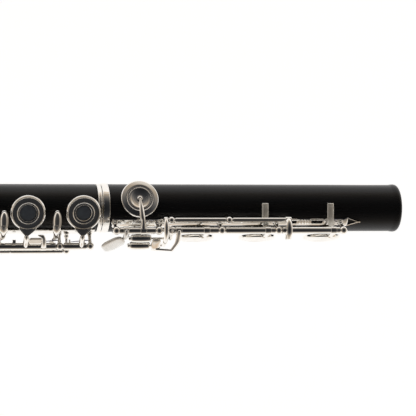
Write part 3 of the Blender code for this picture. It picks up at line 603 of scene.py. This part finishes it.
# Key, its line, the post its needle springs from, and the place of its hook
BODY_SPRINGS = (
    ("trill_d_sharp_key", TRILL_LINE, 203.5, 210.6), ("c_key", MAIN_LINE, 251.5, 245.6),
    ("b_flat_key", MAIN_LINE, 286.0, 293.4), ("g_key", MAIN_LINE, 374.5, 358.0),
    ("f_sharp_key", MAIN_LINE, 374.5, 383.4), ("e_key", MAIN_LINE, 460.1, 447.6),
    ("d_key", MAIN_LINE, 476.6, 465.6), ("thumb_b_key", THUMB_LINE, 270.5, 290.5),
    ("thumb_b_flat_lever", THUMB_LINE, 317.0, 303.6), ("g_sharp_key", G_SHARP_LINE, 350.0, 358.0),
)
FOOT_SPRINGS = (
    ("foot_d_sharp_key", FOOT_LINE, 512.7, 499.8), ("foot_c_sharp_key", FOOT_LINE, 547.3, 533.4),
    ("foot_c_key", FOOT_LINE, 579.0, 565.0), ("foot_b_key", FOOT_LINE, 615.7, 602.6),
)


def add_posts(rib, places, line, foot_angle, ball=2.15, hole=1.2):
    """Turned posts: a moulded foot, a waisted stem, and a drilled ball on the hinge line."""
    edge = math.acos(hole / ball)
    arc = [edge - 2 * edge * i / 16 for i in range(17)]
    section = [(ball * math.cos(a), ball * math.sin(a)) for a in arc]
    for x in places:
        centre, base = polar(x, *line), polar(x, TUBE_R + 0.9, foot_angle)
        run = centre - base
        tall = run.length - hole - GAP
        stem = [(0, tall), (1.15, tall), (0.95, tall * 0.78), (0.9, tall * 0.55), (1.0, tall * 0.35),
                (1.5, tall * 0.26), (1.6, tall * 0.2), (1.25, tall * 0.14), (1.75, 0.3), (1.8, -0.1),
                (0, -0.1)]
        rib.lathe(stem, pointing(base, run), ROD_TURN, False, 0.2)
        rib.lathe(section, move(centre) @ ALONG_X, ROD_TURN, round_by=0)


def add_screw_heads(rib, places, angle, radius=1.1):
    """Domed screw heads with slots."""
    dome = [(0, 0.42), (0.5, 0.38), (0.85, 0.2), (1.0, -0.1), (0, -0.2)]
    for x in places:
        matrix = radial(x, angle)
        rib.lathe([(part * radius, RIB_OUT + rise) for part, rise in dome], matrix, 24, False, 0.05)
        rib.plate(matrix @ move(Vector((0, 0, RIB_OUT + 0.36))), (radius * 1.5, 0.32, 0.16), 6.0, 0.0, 16)


def add_frame(rib, x0, x1, low, high, wall, tall):
    """A raised rectangular frame on a rib, with a flat field inside it."""
    around = math.degrees(wall / RIB_OUT)
    top = RIB_OUT + tall
    for a, b, c, d in ((x0, x1, low, low + around), (x0, x1, high - around, high),
                       (x0, x0 + wall, low, high), (x1 - wall, x1, low, high)):
        rib.strap([(a, c, d, 0.2), (a + 0.12, c, d, 0.0), (b - 0.12, c, d, 0.0), (b, c, d, 0.2)],
                  RIB_OUT - 0.2, top, 6)


def make_springs(name, body, springs):
    """Blued needle springs, each from a post's stem along the tube to its key's hook."""
    piece = Piece(name, BLUED)
    for _, (radius, angle), x_post, x_hook in springs:
        start, end = polar(x_post, radius - 3.6, angle), polar(x_hook, radius - 3.0, angle + 4.2)
        piece.wire([start, start.lerp(end, 0.4) + Vector((0, 0, -0.12)), start.lerp(end, 0.75), end], 0.28)
    piece.make(body)


def start_rib(node, mid, half_wide, *stations):
    """A rib's strip. Stations are x, the part of its full width, and how far its top is lowered."""
    rib = Piece(f"{node}_silver", SILVER)
    half = math.degrees(half_wide / TUBE_R)
    rib.strap([(x, mid - half * part, mid + half * part, drop) for x, part, drop in stations])
    return rib


def make_main_rib():
    low, high = ends("main_rib")
    rib = start_rib("main_rib", 64.0, 3.0, (low, 0.3, 0.4), (low + 0.6, 0.75, 0.1), (low + 2.0, 1.0, 0.0),
                    (high - 1.2, 1.0, 0.0), (high, 0.9, 0.25))
    add_posts(rib, MAIN_POSTS, MAIN_LINE, 60.0)
    add_posts(rib, TRILL_POSTS, TRILL_LINE, 70.5, 1.9, 1.1)
    add_screw_heads(rib, (215.0, 262.0, 310.0, 345.0, 400.0, 436.0, 470.0), 57.0)
    rib.make("body_joint", "main_rib")


def make_small_ribs():
    for node, line, posts, mid in (("thumb_rib", THUMB_LINE, THUMB_POSTS, 94.0),
                                   ("g_sharp_rib", G_SHARP_LINE, G_SHARP_POSTS, -60.0)):
        low, high = ends(node)
        rib = start_rib(node, mid, 2.5, (low, 0.4, 0.4), (low + 1.5, 1.0, 0.0), (high - 1.5, 1.0, 0.0),
                        (high, 0.4, 0.4))
        add_posts(rib, posts, line, mid - 1.0)
        add_screw_heads(rib, (posts[0] + 12.0, posts[1] - 12.0), mid)
        rib.make("body_joint", node)


def make_foot_rib():
    """The foot's rib: broad at its socket end, with framed windows, ridges and an open spear tip."""
    rib = Piece("foot_rib_silver", SILVER)
    low = ends("foot_rib")[0] + 0.6
    edge, wide, narrow, tip = 17.7, 43.0, 36.1, 26.9
    windows = ((587.0, 590.6), (599.0, 605.4))
    rib.strap([(low, edge + 2, wide - 2, 0.3), (low + 0.6, edge, wide, 0.0), (519.0, edge, wide, 0.0),
               (521.5, edge, narrow, 0.0), (windows[0][0], edge, narrow, 0.0)])
    rib.strap([(windows[0][1], edge, narrow, 0.0), (windows[1][0], edge, narrow, 0.0)])
    rib.strap([(x, edge + in_low, narrow - in_high, drop) for x, in_low, in_high, drop in (
        (windows[1][1], 0, 0, 0.0), (616.5, 0, 0, 0.0), (617.6, 1.5, 1.5, 0.0), (618.8, -3.0, -2.6, 0.0),
        (619.6, -3.0, -2.6, 0.0), (619.9, -2.4, -2.0, 0.2))])
    for a, b, inward in ((edge - 2.7, tip - 0.2, 2.6), (narrow + 2.3, tip + 0.2, -2.6)):
        start, end = sorted((a, a + inward)), sorted((b, b + inward * 0.6))
        rib.strap([(619.6, *start, 0.0), (626.6, *end, 0.0), (627.5, tip - 0.5, tip + 0.5, 0.3)], steps=4)
    for x0, x1 in windows:
        for a, b in ((edge, edge + 3.0), (edge + 12.5, narrow)):
            rib.strap([(x0 - 0.2, a, b, 0.05), (x1 + 0.2, a, b, 0.05)], steps=6)
        add_frame(rib, x0 - 0.7, x1 + 0.7, edge + 1.0, edge + 14.5, 0.8, 0.4)
    add_posts(rib, FOOT_POSTS, FOOT_LINE, 27.0, 2.35)
    add_posts(rib, LEVER_POSTS, LEVER_LINE, 21.0, 1.95, 1.2)
    for x in (592.2, 593.9, 595.6, 597.0):
        steps = ((0.0, 0.25), (0.2, 0.0), (0.8, 0.0), (1.0, 0.25))
        rib.strap([(x + step, edge + 1, edge + 14, drop) for step, drop in steps],
                  RIB_OUT - 0.1, RIB_OUT + 0.35, 6)
    for x, angle in ((607.6, 24.0), (610.4, 21.5), (612.9, 25.5)):
        add_screw_heads(rib, (x,), angle, 1.0)
    add_screw_heads(rib, (494.0, 500.0, 507.0, 530.0, 560.0), 24.0)
    rib.make("foot_joint", "foot_rib")


def make_steels():
    for node, body in (("main_steel", "body_joint"), ("thumb_steel", "body_joint"),
                       ("d_sharp_steel", "foot_joint"), ("b_steel", "foot_joint")):
        x0, x1 = ends(node)
        points = [(0, x1 - 0.35), (0.25, x1 - 0.35), (0.3, x1), (STEEL_R, x1), (STEEL_R, x0), (0, x0)]
        rod = Piece(f"{node}_rod", STEEL)
        rod.lathe(points, move(side(0, *centre_of(node))) @ ALONG_X, ROD_TURN, False)
        rod.make(body, node)


# Keys

ROUNDED, RIDGED = 2.6, 1.5


def open_cup_outline(radius, hole):
    """Half section of an open cup: a bevelled rim, a flat face and a sunk ring round its hole."""
    low, top, roof = SEAT + 0.6, SEAT + 2.9, SEAT + 2.1
    face, ring, wall = top - 0.42, min(5.7, radius - 2.6), radius - 0.7
    lip = 0.26 if hole < 4.4 else 0.12
    inner = [(hole, low), (hole, face - lip), (hole + lip, face), (ring - 0.24, face), (ring, face + 0.2),
             (ring + 0.24, face), (radius - 1.15, face), (radius - 0.95, face + 0.12)]
    rim = [(radius - 0.88, top - 0.02), (radius - 0.78, top), (radius - 0.62, top - 0.10),
           (radius - 0.12, top - 0.62), (radius, top - 0.85)]
    return inner + rim + [(radius, low), (wall, low), (wall, roof), (hole + 0.6, roof), (hole + 0.6, low)]


def closed_cup_outline(radius):
    """Half section of a closed cup: a shallow bowl, a bead, a groove and a sloping shoulder."""
    low, top, roof, wall = SEAT + 0.6, SEAT + 3.1, SEAT + 1.95, radius - 0.7
    face = [(0, 0.40), (0.09, 0.50), (0.13, 0.86), (0.20, 0.92), (0.32, 0.76), (0.44, 0.46), (0.52, 0.14),
            (0.555, 0.04), (0.59, 0.10), (0.61, 0.42), (0.67, 0.46), (0.69, 0.12), (0.715, 0.0),
            (0.76, 0.07), (0.955, 0.68), (0.985, 0.92), (1.0, 1.25)]
    outline = [(part * radius, top - drop) for part, drop in face]
    return outline + [(radius, low), (wall, low), (wall, roof), (0, roof)]


def at(x, *stations):
    """Stations of a bar that all lie at one x."""
    return [(x, *station) for station in stations]


class Key(Piece):
    """A silver key. Its methods place shapes as on the closed key and carry them to where the key rests."""

    def __init__(self, name):
        super().__init__(f"{name}_silver", SILVER)
        self.node, self.rest = name, closed(name)
        self.hinge = move(hinge_axis(name)) @ ALONG_X
        # The small hook under its hinge that the needle spring bears on
        for spring, (radius, angle), _, x in BODY_SPRINGS + FOOT_SPRINGS:
            if spring == name:
                self.rod(polar(x, radius - 1.5, angle), polar(x, radius - 3.8, angle), 0.7, 0.45, 12)

    def add_tube(self, x0, x1, radius=HINGE_R, bore=HINGE_BORE):
        self.lathe(tube_profile(x0, x1, radius, bore), self.hinge, ROD_TURN, True, 0.18)

    def add_pinned(self, *steps):
        """A solid stepped rod on the hinge line, from its high end as x, radius, x, radius, and so on."""
        points = [(0, steps[0])]
        for x0, radius, x1 in zip(steps[::2], steps[1::2], steps[2::2]):
            points += [(radius, x0), (radius, x1)]
        self.lathe(points + [(0, steps[-1])], self.hinge, ROD_TURN, False, 0.15)

    def add_collar(self, x, width=3.2):
        """A raised collar where an arm is brazed to the hinge tube."""
        outline = tube_profile(x - width / 2, x + width / 2, HINGE_R + 0.28, HINGE_BORE)
        self.lathe(outline, self.hinge, ROD_TURN, True, 0.3)

    def add_cup(self, pad, angle, radius, hole=0.0):
        """A cup over its pad, which has a rounded face, an impressed seat ring and a card edge behind it."""
        x = middle(pad)
        matrix, is_open = self.rest @ radial(x, angle), bool(hole)
        outline = open_cup_outline(radius, hole) if is_open else closed_cup_outline(radius)
        self.lathe(outline, matrix, CUP_TURN, is_open, 0.08)
        low, high, outer = SEAT + 0.3, SEAT + 1.9, radius - 1.0
        felt = [(outer, high), (outer, low + 0.35), (outer - 0.35, low), (outer * 0.92, low),
                (outer * 0.86, low + 0.1), (outer * 0.78, low)]
        felt = felt + [(hole + 0.9, low), (hole + 0.9, high)] if is_open else [(0, high), *felt, (0, low)]
        Piece(f"{pad}_felt", PAD).lathe(felt, matrix, CUP_TURN, is_open, 0.15).make(self.node, pad)
        return x

    def add_arm(self, x, cup_angle, line, cup_radius, x_hinge=None, reach=0.8, widths=(1.0, 3.0, 2.4, 3.1),
                power=ROUNDED):
        """An arm from a cup or touch to its hinge line, with widths from the cup's side to the hinge."""
        radius, angle = line
        away = math.copysign(1.0, angle - cup_angle)
        top = SEAT + 2.2
        sine, cosine = math.sin(math.radians(cup_angle)), math.cos(math.radians(cup_angle))
        across = radius * math.sin(math.radians(angle - cup_angle))
        rise = radius * math.cos(math.radians(angle - cup_angle))
        x_hinge = x if x_hinge is None else x_hinge
        stations = [
            (x, away * reach, top + 0.75, widths[0], 1.3),
            (x + (x_hinge - x) * 0.3, away * (cup_radius * 0.55 + reach * 0.3), top + 0.85,
             widths[1] * 0.85, 1.9),
            (x + (x_hinge - x) * 0.6, away * (cup_radius + 0.6), top + 0.4, widths[1], 2.1),
            (x_hinge, across - away * 4.4, (top + rise + 1.9) / 2, widths[2], 2.1),
            (x_hinge, across - away * 1.3, rise + 1.5, widths[3], 2.4),
            (x_hinge, across + away * 0.7, rise + 0.7, widths[3] * 0.94, 2.2),
        ]
        self.bar([
            (x, near * cosine + up * sine, up * cosine - near * sine, *size)
            for x, near, up, *size in stations
        ], self.rest, power)

    def add_web(self, x, x_hinge, cup_radius):
        """The flat pointed web between an open cup's rim and its ridged stem, with a bead along each edge."""
        top = SEAT + 2.55
        radius, angle = MAIN_LINE
        across, rise = radius * math.sin(math.radians(angle)), radius * math.cos(math.radians(angle))
        start, tip = cup_radius - 0.9, across - 6.7
        wide, narrow, steps = 8.8, 0.7, 8
        rings, beads = [], {-1: [], 1: []}
        for i in range(steps + 1):
            t = i / steps
            x_here, near = x + (x_hinge - x) * t, start + (tip - start) * t
            half = (wide * (1 - t) ** 0.95 + narrow * t) / 2
            section = superellipse(half, 0.5, 5.0, 16)
            rings.append([tuple(side(x_here + a, near, top + b)) for a, b in section])
            for edge, path in beads.items():
                path.append((x_here + edge * half, near, top + 0.05, 0.85, 1.6))
        self.skin(rings, matrix=self.rest)
        for path in beads.values():
            self.bar(path + [(x_hinge, tip + 0.9, top - 0.1, 0.9, 1.6)], self.rest, 1.7, 12, 2)
        stem = at(x_hinge, (tip - 0.4, top - 0.35, 1.6, 1.5), (tip + 0.9, top - 0.15, 2.9, 2.4),
                  (across - 3.4, rise + 2.5, 3.2, 2.9), (across - 1.2, rise + 1.2, 3.3, 3.1),
                  (across + 0.5, rise - 0.1, 3.2, 2.9))
        self.bar(stem, self.rest, 1.45)

    def add_plate(self, place, angle, size, power=2.4, crown=0.25):
        self.plate(self.rest @ facing(place, angle), size, power, crown)

    def done(self):
        self.make(self.node, self.node)


def make_plug(key, x, hole):
    """The push-in plug of an open hole, a little below the cup's face."""
    low, high = SEAT + 1.0, SEAT + 2.2
    outline = [(0, high), (hole - 0.75, high), (hole - 0.35, high - 0.22), (hole - 0.1, high - 0.6),
               (hole - 0.1, low), (0, low)]
    plug = Piece(f"{key.removesuffix('_key')}_hole_plug", RUBBER)
    plug.lathe(outline, closed(key) @ radial(x, 0.0), CUP_TURN, False).make(key)


def make_finger_keys():
    for name, tube, pads, radius, hole, shift in (
        ("b_flat_key", (288.2, 303.1), ("pad_b_flat",), CUP_UPPER, 0.0, 0.0),
        ("a_key", (303.4, 325.9), ("pad_a",), CUP_UPPER, 4.0, 0.0),
        ("g_key", (326.2, 372.3), ("pad_g", "pad_g_second"), CUP_UPPER, 0.0, 0.0),
        ("f_sharp_key", (376.7, 397.0), ("pad_f_sharp",), CUP_LARGE, 0.0, 0.0),
        ("f_key", (397.3, 422.3), ("pad_f",), CUP_LARGE, 4.3, 0.0),
        ("d_key", (462.2, 474.4), ("pad_d",), CUP_LARGE, 4.2, -0.3),
        ("e_key", (422.6, 457.9), ("pad_e",), CUP_LARGE, 4.6, -0.6),
    ):
        key = Key(name)
        key.add_tube(*tube)
        for pad in pads:
            x = middle(pad)
            if hole:
                key.add_web(x, x + shift, radius)
                make_plug(name, x, hole)
            else:
                key.add_arm(x, 0.0, MAIN_LINE, radius)
                key.add_collar(x)
            key.add_cup(pad, 0.0, radius, hole)
        if name == "e_key":
            add_adjusting_lug(key)
        key.done()


def add_adjusting_lug(key):
    """The bent lug of the E key with its flat foot, and the small adjusting block beside the cup."""
    lug = [(451.2, 19.0, 13.6, 3.0, 2.2), (451.2, 16.8, 15.0, 2.6, 1.9), (450.9, 14.0, 15.9, 2.2, 1.5),
           (449.4, 12.2, 16.2, 3.4, 1.3)]
    key.bar(lug, key.rest, ROUNDED)
    key.add_collar(451.2, 3.0)
    key.add_plate(side(446.6, 15.4, 15.2), 27.0, (6.8, 4.2, 1.0), 6.0, 0.0)
    key.add_plate(side(435.4, 16.2, 14.0), 0.0, (2.0, 2.4, 1.6), 6.0, 0.0)


def make_c_key():
    key = Key("c_key")
    key.add_pinned(253.2, STEEL_R, 249.3, HINGE_R, 236.7, STEEL_R, 232.8)
    x = key.add_cup("pad_c", 0.0, CUP_SMALL)
    key.add_arm(x, 0.0, MAIN_LINE, CUP_SMALL, reach=0.5)
    touch_arm = [(246.0, 18.4, 13.6, 3.0, 1.8), (249.0, 13.0, 16.5, 4.0, 1.4), (252.0, 9.0, 17.6, 5.0, 1.3)]
    key.bar(touch_arm, key.rest)
    key.add_plate(side(255.0, 6.5, 18.0), 10.0, (15.0, 8.0, 1.3))
    key.done()


def make_thumb_keys():
    for name, tube, x_touch, size in (
        ("thumb_b_key", (272.7, 301.6), 296.5, (9.5, 17.0, 1.4)),
        ("thumb_b_flat_lever", (301.9, 314.8), 307.5, (8.5, 15.0, 1.4)),
    ):
        key = Key(name)
        key.add_tube(*tube)
        if name == "thumb_b_key":
            x = key.add_cup("pad_thumb_b", THUMB_ANGLE, CUP_UPPER)
            key.add_arm(x, THUMB_ANGLE, THUMB_LINE, CUP_UPPER)
            key.add_collar(x)
        key.add_arm(x_touch, THUMB_ANGLE, THUMB_LINE, 5.0, reach=1.0, widths=(6.0, 4.3, 2.4, 3.0))
        key.add_collar(x_touch)
        key.add_plate(polar(x_touch, 17.2, 148.0), 148.0, size, 2.6, 0.35)
        key.done()


def make_g_sharp_key():
    key = Key("g_sharp_key")
    key.add_pinned(397.7, STEEL_R, 393.8, HINGE_R, 352.2, STEEL_R, 348.3)
    x = key.add_cup("pad_g_sharp", G_SHARP_ANGLE, CUP_UPPER)
    key.add_arm(x, G_SHARP_ANGLE, G_SHARP_LINE, CUP_UPPER)
    key.bar([(384.0, -18.9, 11.6, 3.0, 1.9), (384.0, -17.6, 15.5, 4.0, 1.5), (382.0, -15.6, 18.2, 6.0, 1.4)])
    key.add_plate(side(379.5, -14.6, 18.7), -32.0, (24.0, 7.5, 1.4), 2.2, 0.35)
    key.done()


def make_trill_keys():
    """Each has a small cup on the far side, and an arm up between two cups to an oval dished touch."""
    pin = 0.8
    for name, x_arm, x_touch in (("trill_d_key", 428.2, 429.5), ("trill_d_sharp_key", 456.5, 457.7)):
        key = Key(name)
        if name == "trill_d_key":
            key.add_tube(213.8, 434.0, TRILL_R, TRILL_BORE)
        else:
            key.add_pinned(466.2, pin, 462.4, TRILL_R, 434.3, pin, 213.5, TRILL_R, 205.6, pin, 201.8)
        x = key.add_cup(f"pad_{name.removesuffix('_key')}", TRILL_ANGLE, CUP_SMALL)
        key.add_arm(x, TRILL_ANGLE, TRILL_LINE, CUP_SMALL, reach=0.5)
        key.bar([
            (x_arm, 21.4, 6.1, 2.6, 1.5), (x_arm, 17.0, 7.0, 2.6, 1.4), (x_touch, 14.6, 11.8, 2.8, 1.6),
            (x_touch, 12.0, 15.4, 3.0, 1.8), (x_touch, 9.8, 17.1, 4.4, 2.0), (x_touch, 7.4, 18.0, 3.4, 1.5),
        ], power=RIDGED)
        key.dish(facing(side(x_touch, 4.5, 18.2), 9.0), (4.9, 11.6, 1.5), 0.5, 0.55)
        key.done()


# Foot keys

ROLLER_R = 2.3
ROLLER_X0, ROLLER_X1 = ends("roller_c")


def add_foot_cup(key, note, x_hinge, angle=FOOT_CUP_ANGLE):
    x = key.add_cup(f"pad_foot_{note}", angle, CUP_FOOT)
    key.add_arm(x, angle, FOOT_LINE, CUP_FOOT, x_hinge, 0.4, (0.9, 2.9, 2.6, 3.3), RIDGED)
    key.add_collar(x_hinge, 3.4)


def make_d_sharp_key():
    key = Key("foot_d_sharp_key")
    key.add_tube(491.6, 510.6)
    add_foot_cup(key, "d_sharp", 504.1, D_SHARP_ANGLE)
    key.add_collar(494.8, 3.0)
    key.done()
    touch = Piece("foot_d_sharp_touch", SATIN)
    touch.bar([(494.8, 9.4, 21.3, 2.2, 1.6), (494.8, 11.3, 20.2, 3.2, 2.4), (494.3, 13.6, 18.8, 3.1, 2.0),
               (492.4, 15.3, 17.8, 3.2, 1.5), (489.6, 16.9, 17.1, 1.8, 1.0)], power=1.6)
    touch.plate(facing(side(488.3, 17.4, 16.5), 37.0, 36.0), (13.0, 7.4, 1.4), 3.2, 0.05)
    touch.make(key.node)


def add_axle(key, near, up, x_lever):
    key.rod(side(ROLLER_X0 - 0.9, near, up), side(x_lever, near, up), 0.6)
    key.rod(side(ROLLER_X0 - 0.3, near, up), side(ROLLER_X0 - 1.2, near, up), 1.35, 1.0, 20)


def make_roller(name, centre):
    """A barrel roller: its sides swell, and its ends are turned in."""
    half, spans, turned_in = (ROLLER_X1 - ROLLER_X0) / 2, 14, 0.3
    points = []
    for i in range(spans + 1):
        z = half * (1 - 2 * i / spans)
        swell = ROLLER_R - 0.42 * abs(z / half) ** 2.2
        points.append((swell - (turned_in if i in (0, spans) else 0), z))
    points += [(0.9, -half), (0.9, half)]
    roller = Piece(f"{name}_barrel", SILVER)
    roller.lathe(points, move(side((ROLLER_X0 + ROLLER_X1) / 2, *centre)) @ ALONG_X, 48, True, 0.1)
    roller.make(name, name)


def make_c_sharp_key():
    key = Key("foot_c_sharp_key")
    key.add_tube(521.6, 545.2)
    add_foot_cup(key, "c_sharp", 538.8)
    key.add_collar(523.4)
    key.bar([(523.4, 9.6, 21.4, 1.8, 1.2), (523.4, 11.4, 20.5, 3.0, 2.0), (523.2, 14.5, 19.5, 2.9, 1.6),
             (522.6, 17.0, 18.6, 2.6, 1.5), (520.4, 20.8, 16.9, 2.2, 1.3)], power=RIDGED)
    key.rod(side(520.6, 20.9, 16.9), side(511.4, 20.2, 17.2), 0.6, steps=20)
    key.plate(facing(side(511.4, 17.6, 17.9), 33.0), (5.2, 8.6, 1.3), 3.4, 0.2)
    key.done()


def make_stop_tail(name, x):
    """The flat tail that stops the open key on the wood, with its cork screw's dimple."""
    tail = Piece(f"{name.removesuffix('_key')}_stop_tail", BRUSHED)
    tail.bar(at(x, (8.9, 18.6, 3.0, 2.0), (6.9, 16.4, 3.3, 1.7), (4.4, 14.9, 3.6, 1.5),
                (1.0, 14.35, 3.7, 1.4), (-2.0, 14.1, 3.7, 1.4), (-4.1, 13.75, 3.6, 1.3)), power=2.4)
    tail.lathe([(0, 15.0), (0.5, 15.0), (0.7, 14.75), (0.7, 14.3), (0, 14.3)], radial(x, -10.0), 20, False)
    tail.make(name)


def make_c_foot_key():
    x = 519.6
    key = Key("foot_c_key")
    key.add_pinned(578.7, STEEL_R, 576.9, HINGE_R, 549.4, STEEL_R, 521.3, HINGE_R, 517.9, STEEL_R, 512.8)
    add_foot_cup(key, "c", 572.9)
    key.add_collar(x, 2.9)
    near, up = centre_of("roller_c")
    key.bar(at(x, (9.4, 21.2, 1.8, 1.2), (11.1, 19.9, 2.8, 1.9), (12.6, 18.4, 2.5, 1.6),
               (near - 0.3, up + 0.2, 2.5, 1.9), (near + 0.6, up - 0.5, 2.3, 1.7)), power=RIDGED)
    add_axle(key, near, up, x)
    make_stop_tail(key.node, 572.4)
    key.done()
    make_roller("roller_c", (near, up))


def make_b_key():
    x = 584.5
    key = Key("foot_b_key")
    key.add_tube(581.2, 613.5)
    add_foot_cup(key, "b", 609.9)
    key.add_collar(x, 3.0)
    key.bar(at(x, (11.2, 19.4, 3.0, 1.9), (12.8, 18.8, 3.0, 1.5), (14.6, 18.3, 3.0, 1.3)), power=3.0)
    make_stop_tail(key.node, 609.4)
    key.done()


def make_b_lever():
    """A thin rod over the other foot keys, with its roller's arm at one end and a link at the other."""
    x_arm, x_link = 516.4, 584.5
    key = Key("foot_b_lever")
    pin, reach = LEVER_R - 0.35, 2.1
    low, high = LEVER_POSTS
    key.add_pinned(586.2, LEVER_R, high + reach, pin, high - reach, LEVER_R, low + reach, pin, low - reach,
                   LEVER_R, low - 4.4)
    near, up = centre_of("roller_b")
    key.bar(at(x_arm, (3.6, 19.3, 2.2, 1.9), (5.4, 20.9, 2.7, 2.0), (8.2, 21.9, 2.7, 1.9),
               (11.6, 21.7, 2.7, 1.9), (15.8, 18.7, 2.8, 1.9), (near - 0.3, up + 0.6, 2.9, 2.0),
               (near + 0.2, up - 0.7, 2.6, 1.7)), power=1.4)
    add_axle(key, near, up, x_arm)
    key.bar(at(x_link, (3.9, 19.2, 3.2, 2.0), (5.4, 20.9, 3.1, 1.8), (8.2, 22.3, 3.0, 1.3),
               (11.0, 22.4, 3.0, 1.2), (14.2, 20.8, 2.8, 1.1)), power=RIDGED)
    collar_r = LEVER_R + 0.45
    for x, half in ((x_arm, 1.1), (x_link, 1.8)):
        key.lathe([(0, x + half), (collar_r, x + half), (collar_r, x - half), (0, x - half)],
                  key.hinge, ROD_TURN, False, 0.5)
    key.done()
    make_roller("roller_b", (near, up))


# Room

def make_floor():
    drop, half_wide, under_middle = 0.055, 6.0, 0.3
    shape = bmesh.new()
    bmesh.ops.create_grid(shape, x_segments=1, y_segments=1, size=half_wide)
    mesh = mesh_from(shape, "floor")
    floor = add_object("floor", mesh)
    floor.location = (under_middle, 0, cad_low.z - drop)
    made, tree, shader = shader_of("floor_white", (0.92, 0.92, 0.92), 0.9)
    shader.inputs["Emission Color"].default_value = (1, 1, 1, 1)
    shader.inputs["Emission Strength"].default_value = 0.86
    colour = ramp(tree, noise(tree, 3.0), [(0.3, (0.93, 0.93, 0.93)), (0.7, (0.91, 0.91, 0.91))])
    tree.links.new(colour, shader.inputs["Base Color"])
    mesh.materials.append(made)


def make_sky():
    """A white surround that falls off to a dark ceiling, which leans towards the far side of the flute."""
    world = bpy.data.worlds.new("studio")
    bpy.context.scene.world = world
    world.use_nodes = True
    tree = world.node_tree
    place = tree.nodes.new("ShaderNodeTexCoord")
    lean = tree.nodes.new("ShaderNodeVectorMath")
    lean.operation = "DOT_PRODUCT"
    lean.inputs[1].default_value = (0.0, 0.10, 0.995)
    tree.links.new(place.outputs["Generated"], lean.inputs[0])
    colour = ramp(tree, lean.outputs["Value"], [
        (0.0, (1.0, 0.985, 0.96)), (1.0, (0.014, 0.015, 0.017)), (0.09, (0.95, 0.92, 0.88)),
        (0.15, (0.66, 0.48, 0.32)),
        (0.21, (0.76, 0.73, 0.69)), (0.34, (0.42, 0.35, 0.27)), (0.52, (0.25, 0.225, 0.20)),
        (0.68, (0.11, 0.107, 0.105)), (0.84, (0.034, 0.035, 0.038)),
    ])
    tree.links.new(colour, tree.nodes["Background"].inputs["Color"])
    tree.nodes["Background"].inputs["Strength"].default_value = 1.0


CAMERA_LEAN, CAMERA_TILT, CAMERA_FAR, AIM_X, LENS = 12.0, 7.5, 1.0, 0.5434, 157.1


def make_camera():
    """Above the foot joint, leaning towards the head and slightly beyond the flute."""
    lean, tilt = math.radians(CAMERA_LEAN), math.radians(CAMERA_TILT)
    back = Vector((-math.sin(lean), math.cos(lean) * math.sin(tilt), math.cos(lean) * math.cos(tilt)))
    right = (Vector((1, 0, 0)) - back * back.x).normalized()
    up = back.cross(right)
    camera = add_object("camera", bpy.data.cameras.new("camera"))
    camera.matrix_world = Matrix((right, up, back)).transposed().to_4x4()
    camera.location = Vector((AIM_X, 0, 0)) + back * CAMERA_FAR
    camera.data.lens = LENS
    camera.data.sensor_width = 36.0
    camera.data.clip_start = 0.01
    bpy.context.scene.camera = camera


for make in (make_camera, make_head, make_body, make_foot, make_main_rib, make_small_ribs, make_foot_rib,
             make_steels, make_finger_keys, make_c_key, make_thumb_keys, make_g_sharp_key, make_trill_keys,
             make_d_sharp_key, make_c_sharp_key, make_c_foot_key, make_b_key, make_b_lever):
    make()
make_springs("body_needle_springs", "body_joint", BODY_SPRINGS)
make_springs("foot_needle_springs", "foot_joint", FOOT_SPRINGS)
make_floor()
make_sky()
bpy.context.scene.view_settings.view_transform = "Standard"
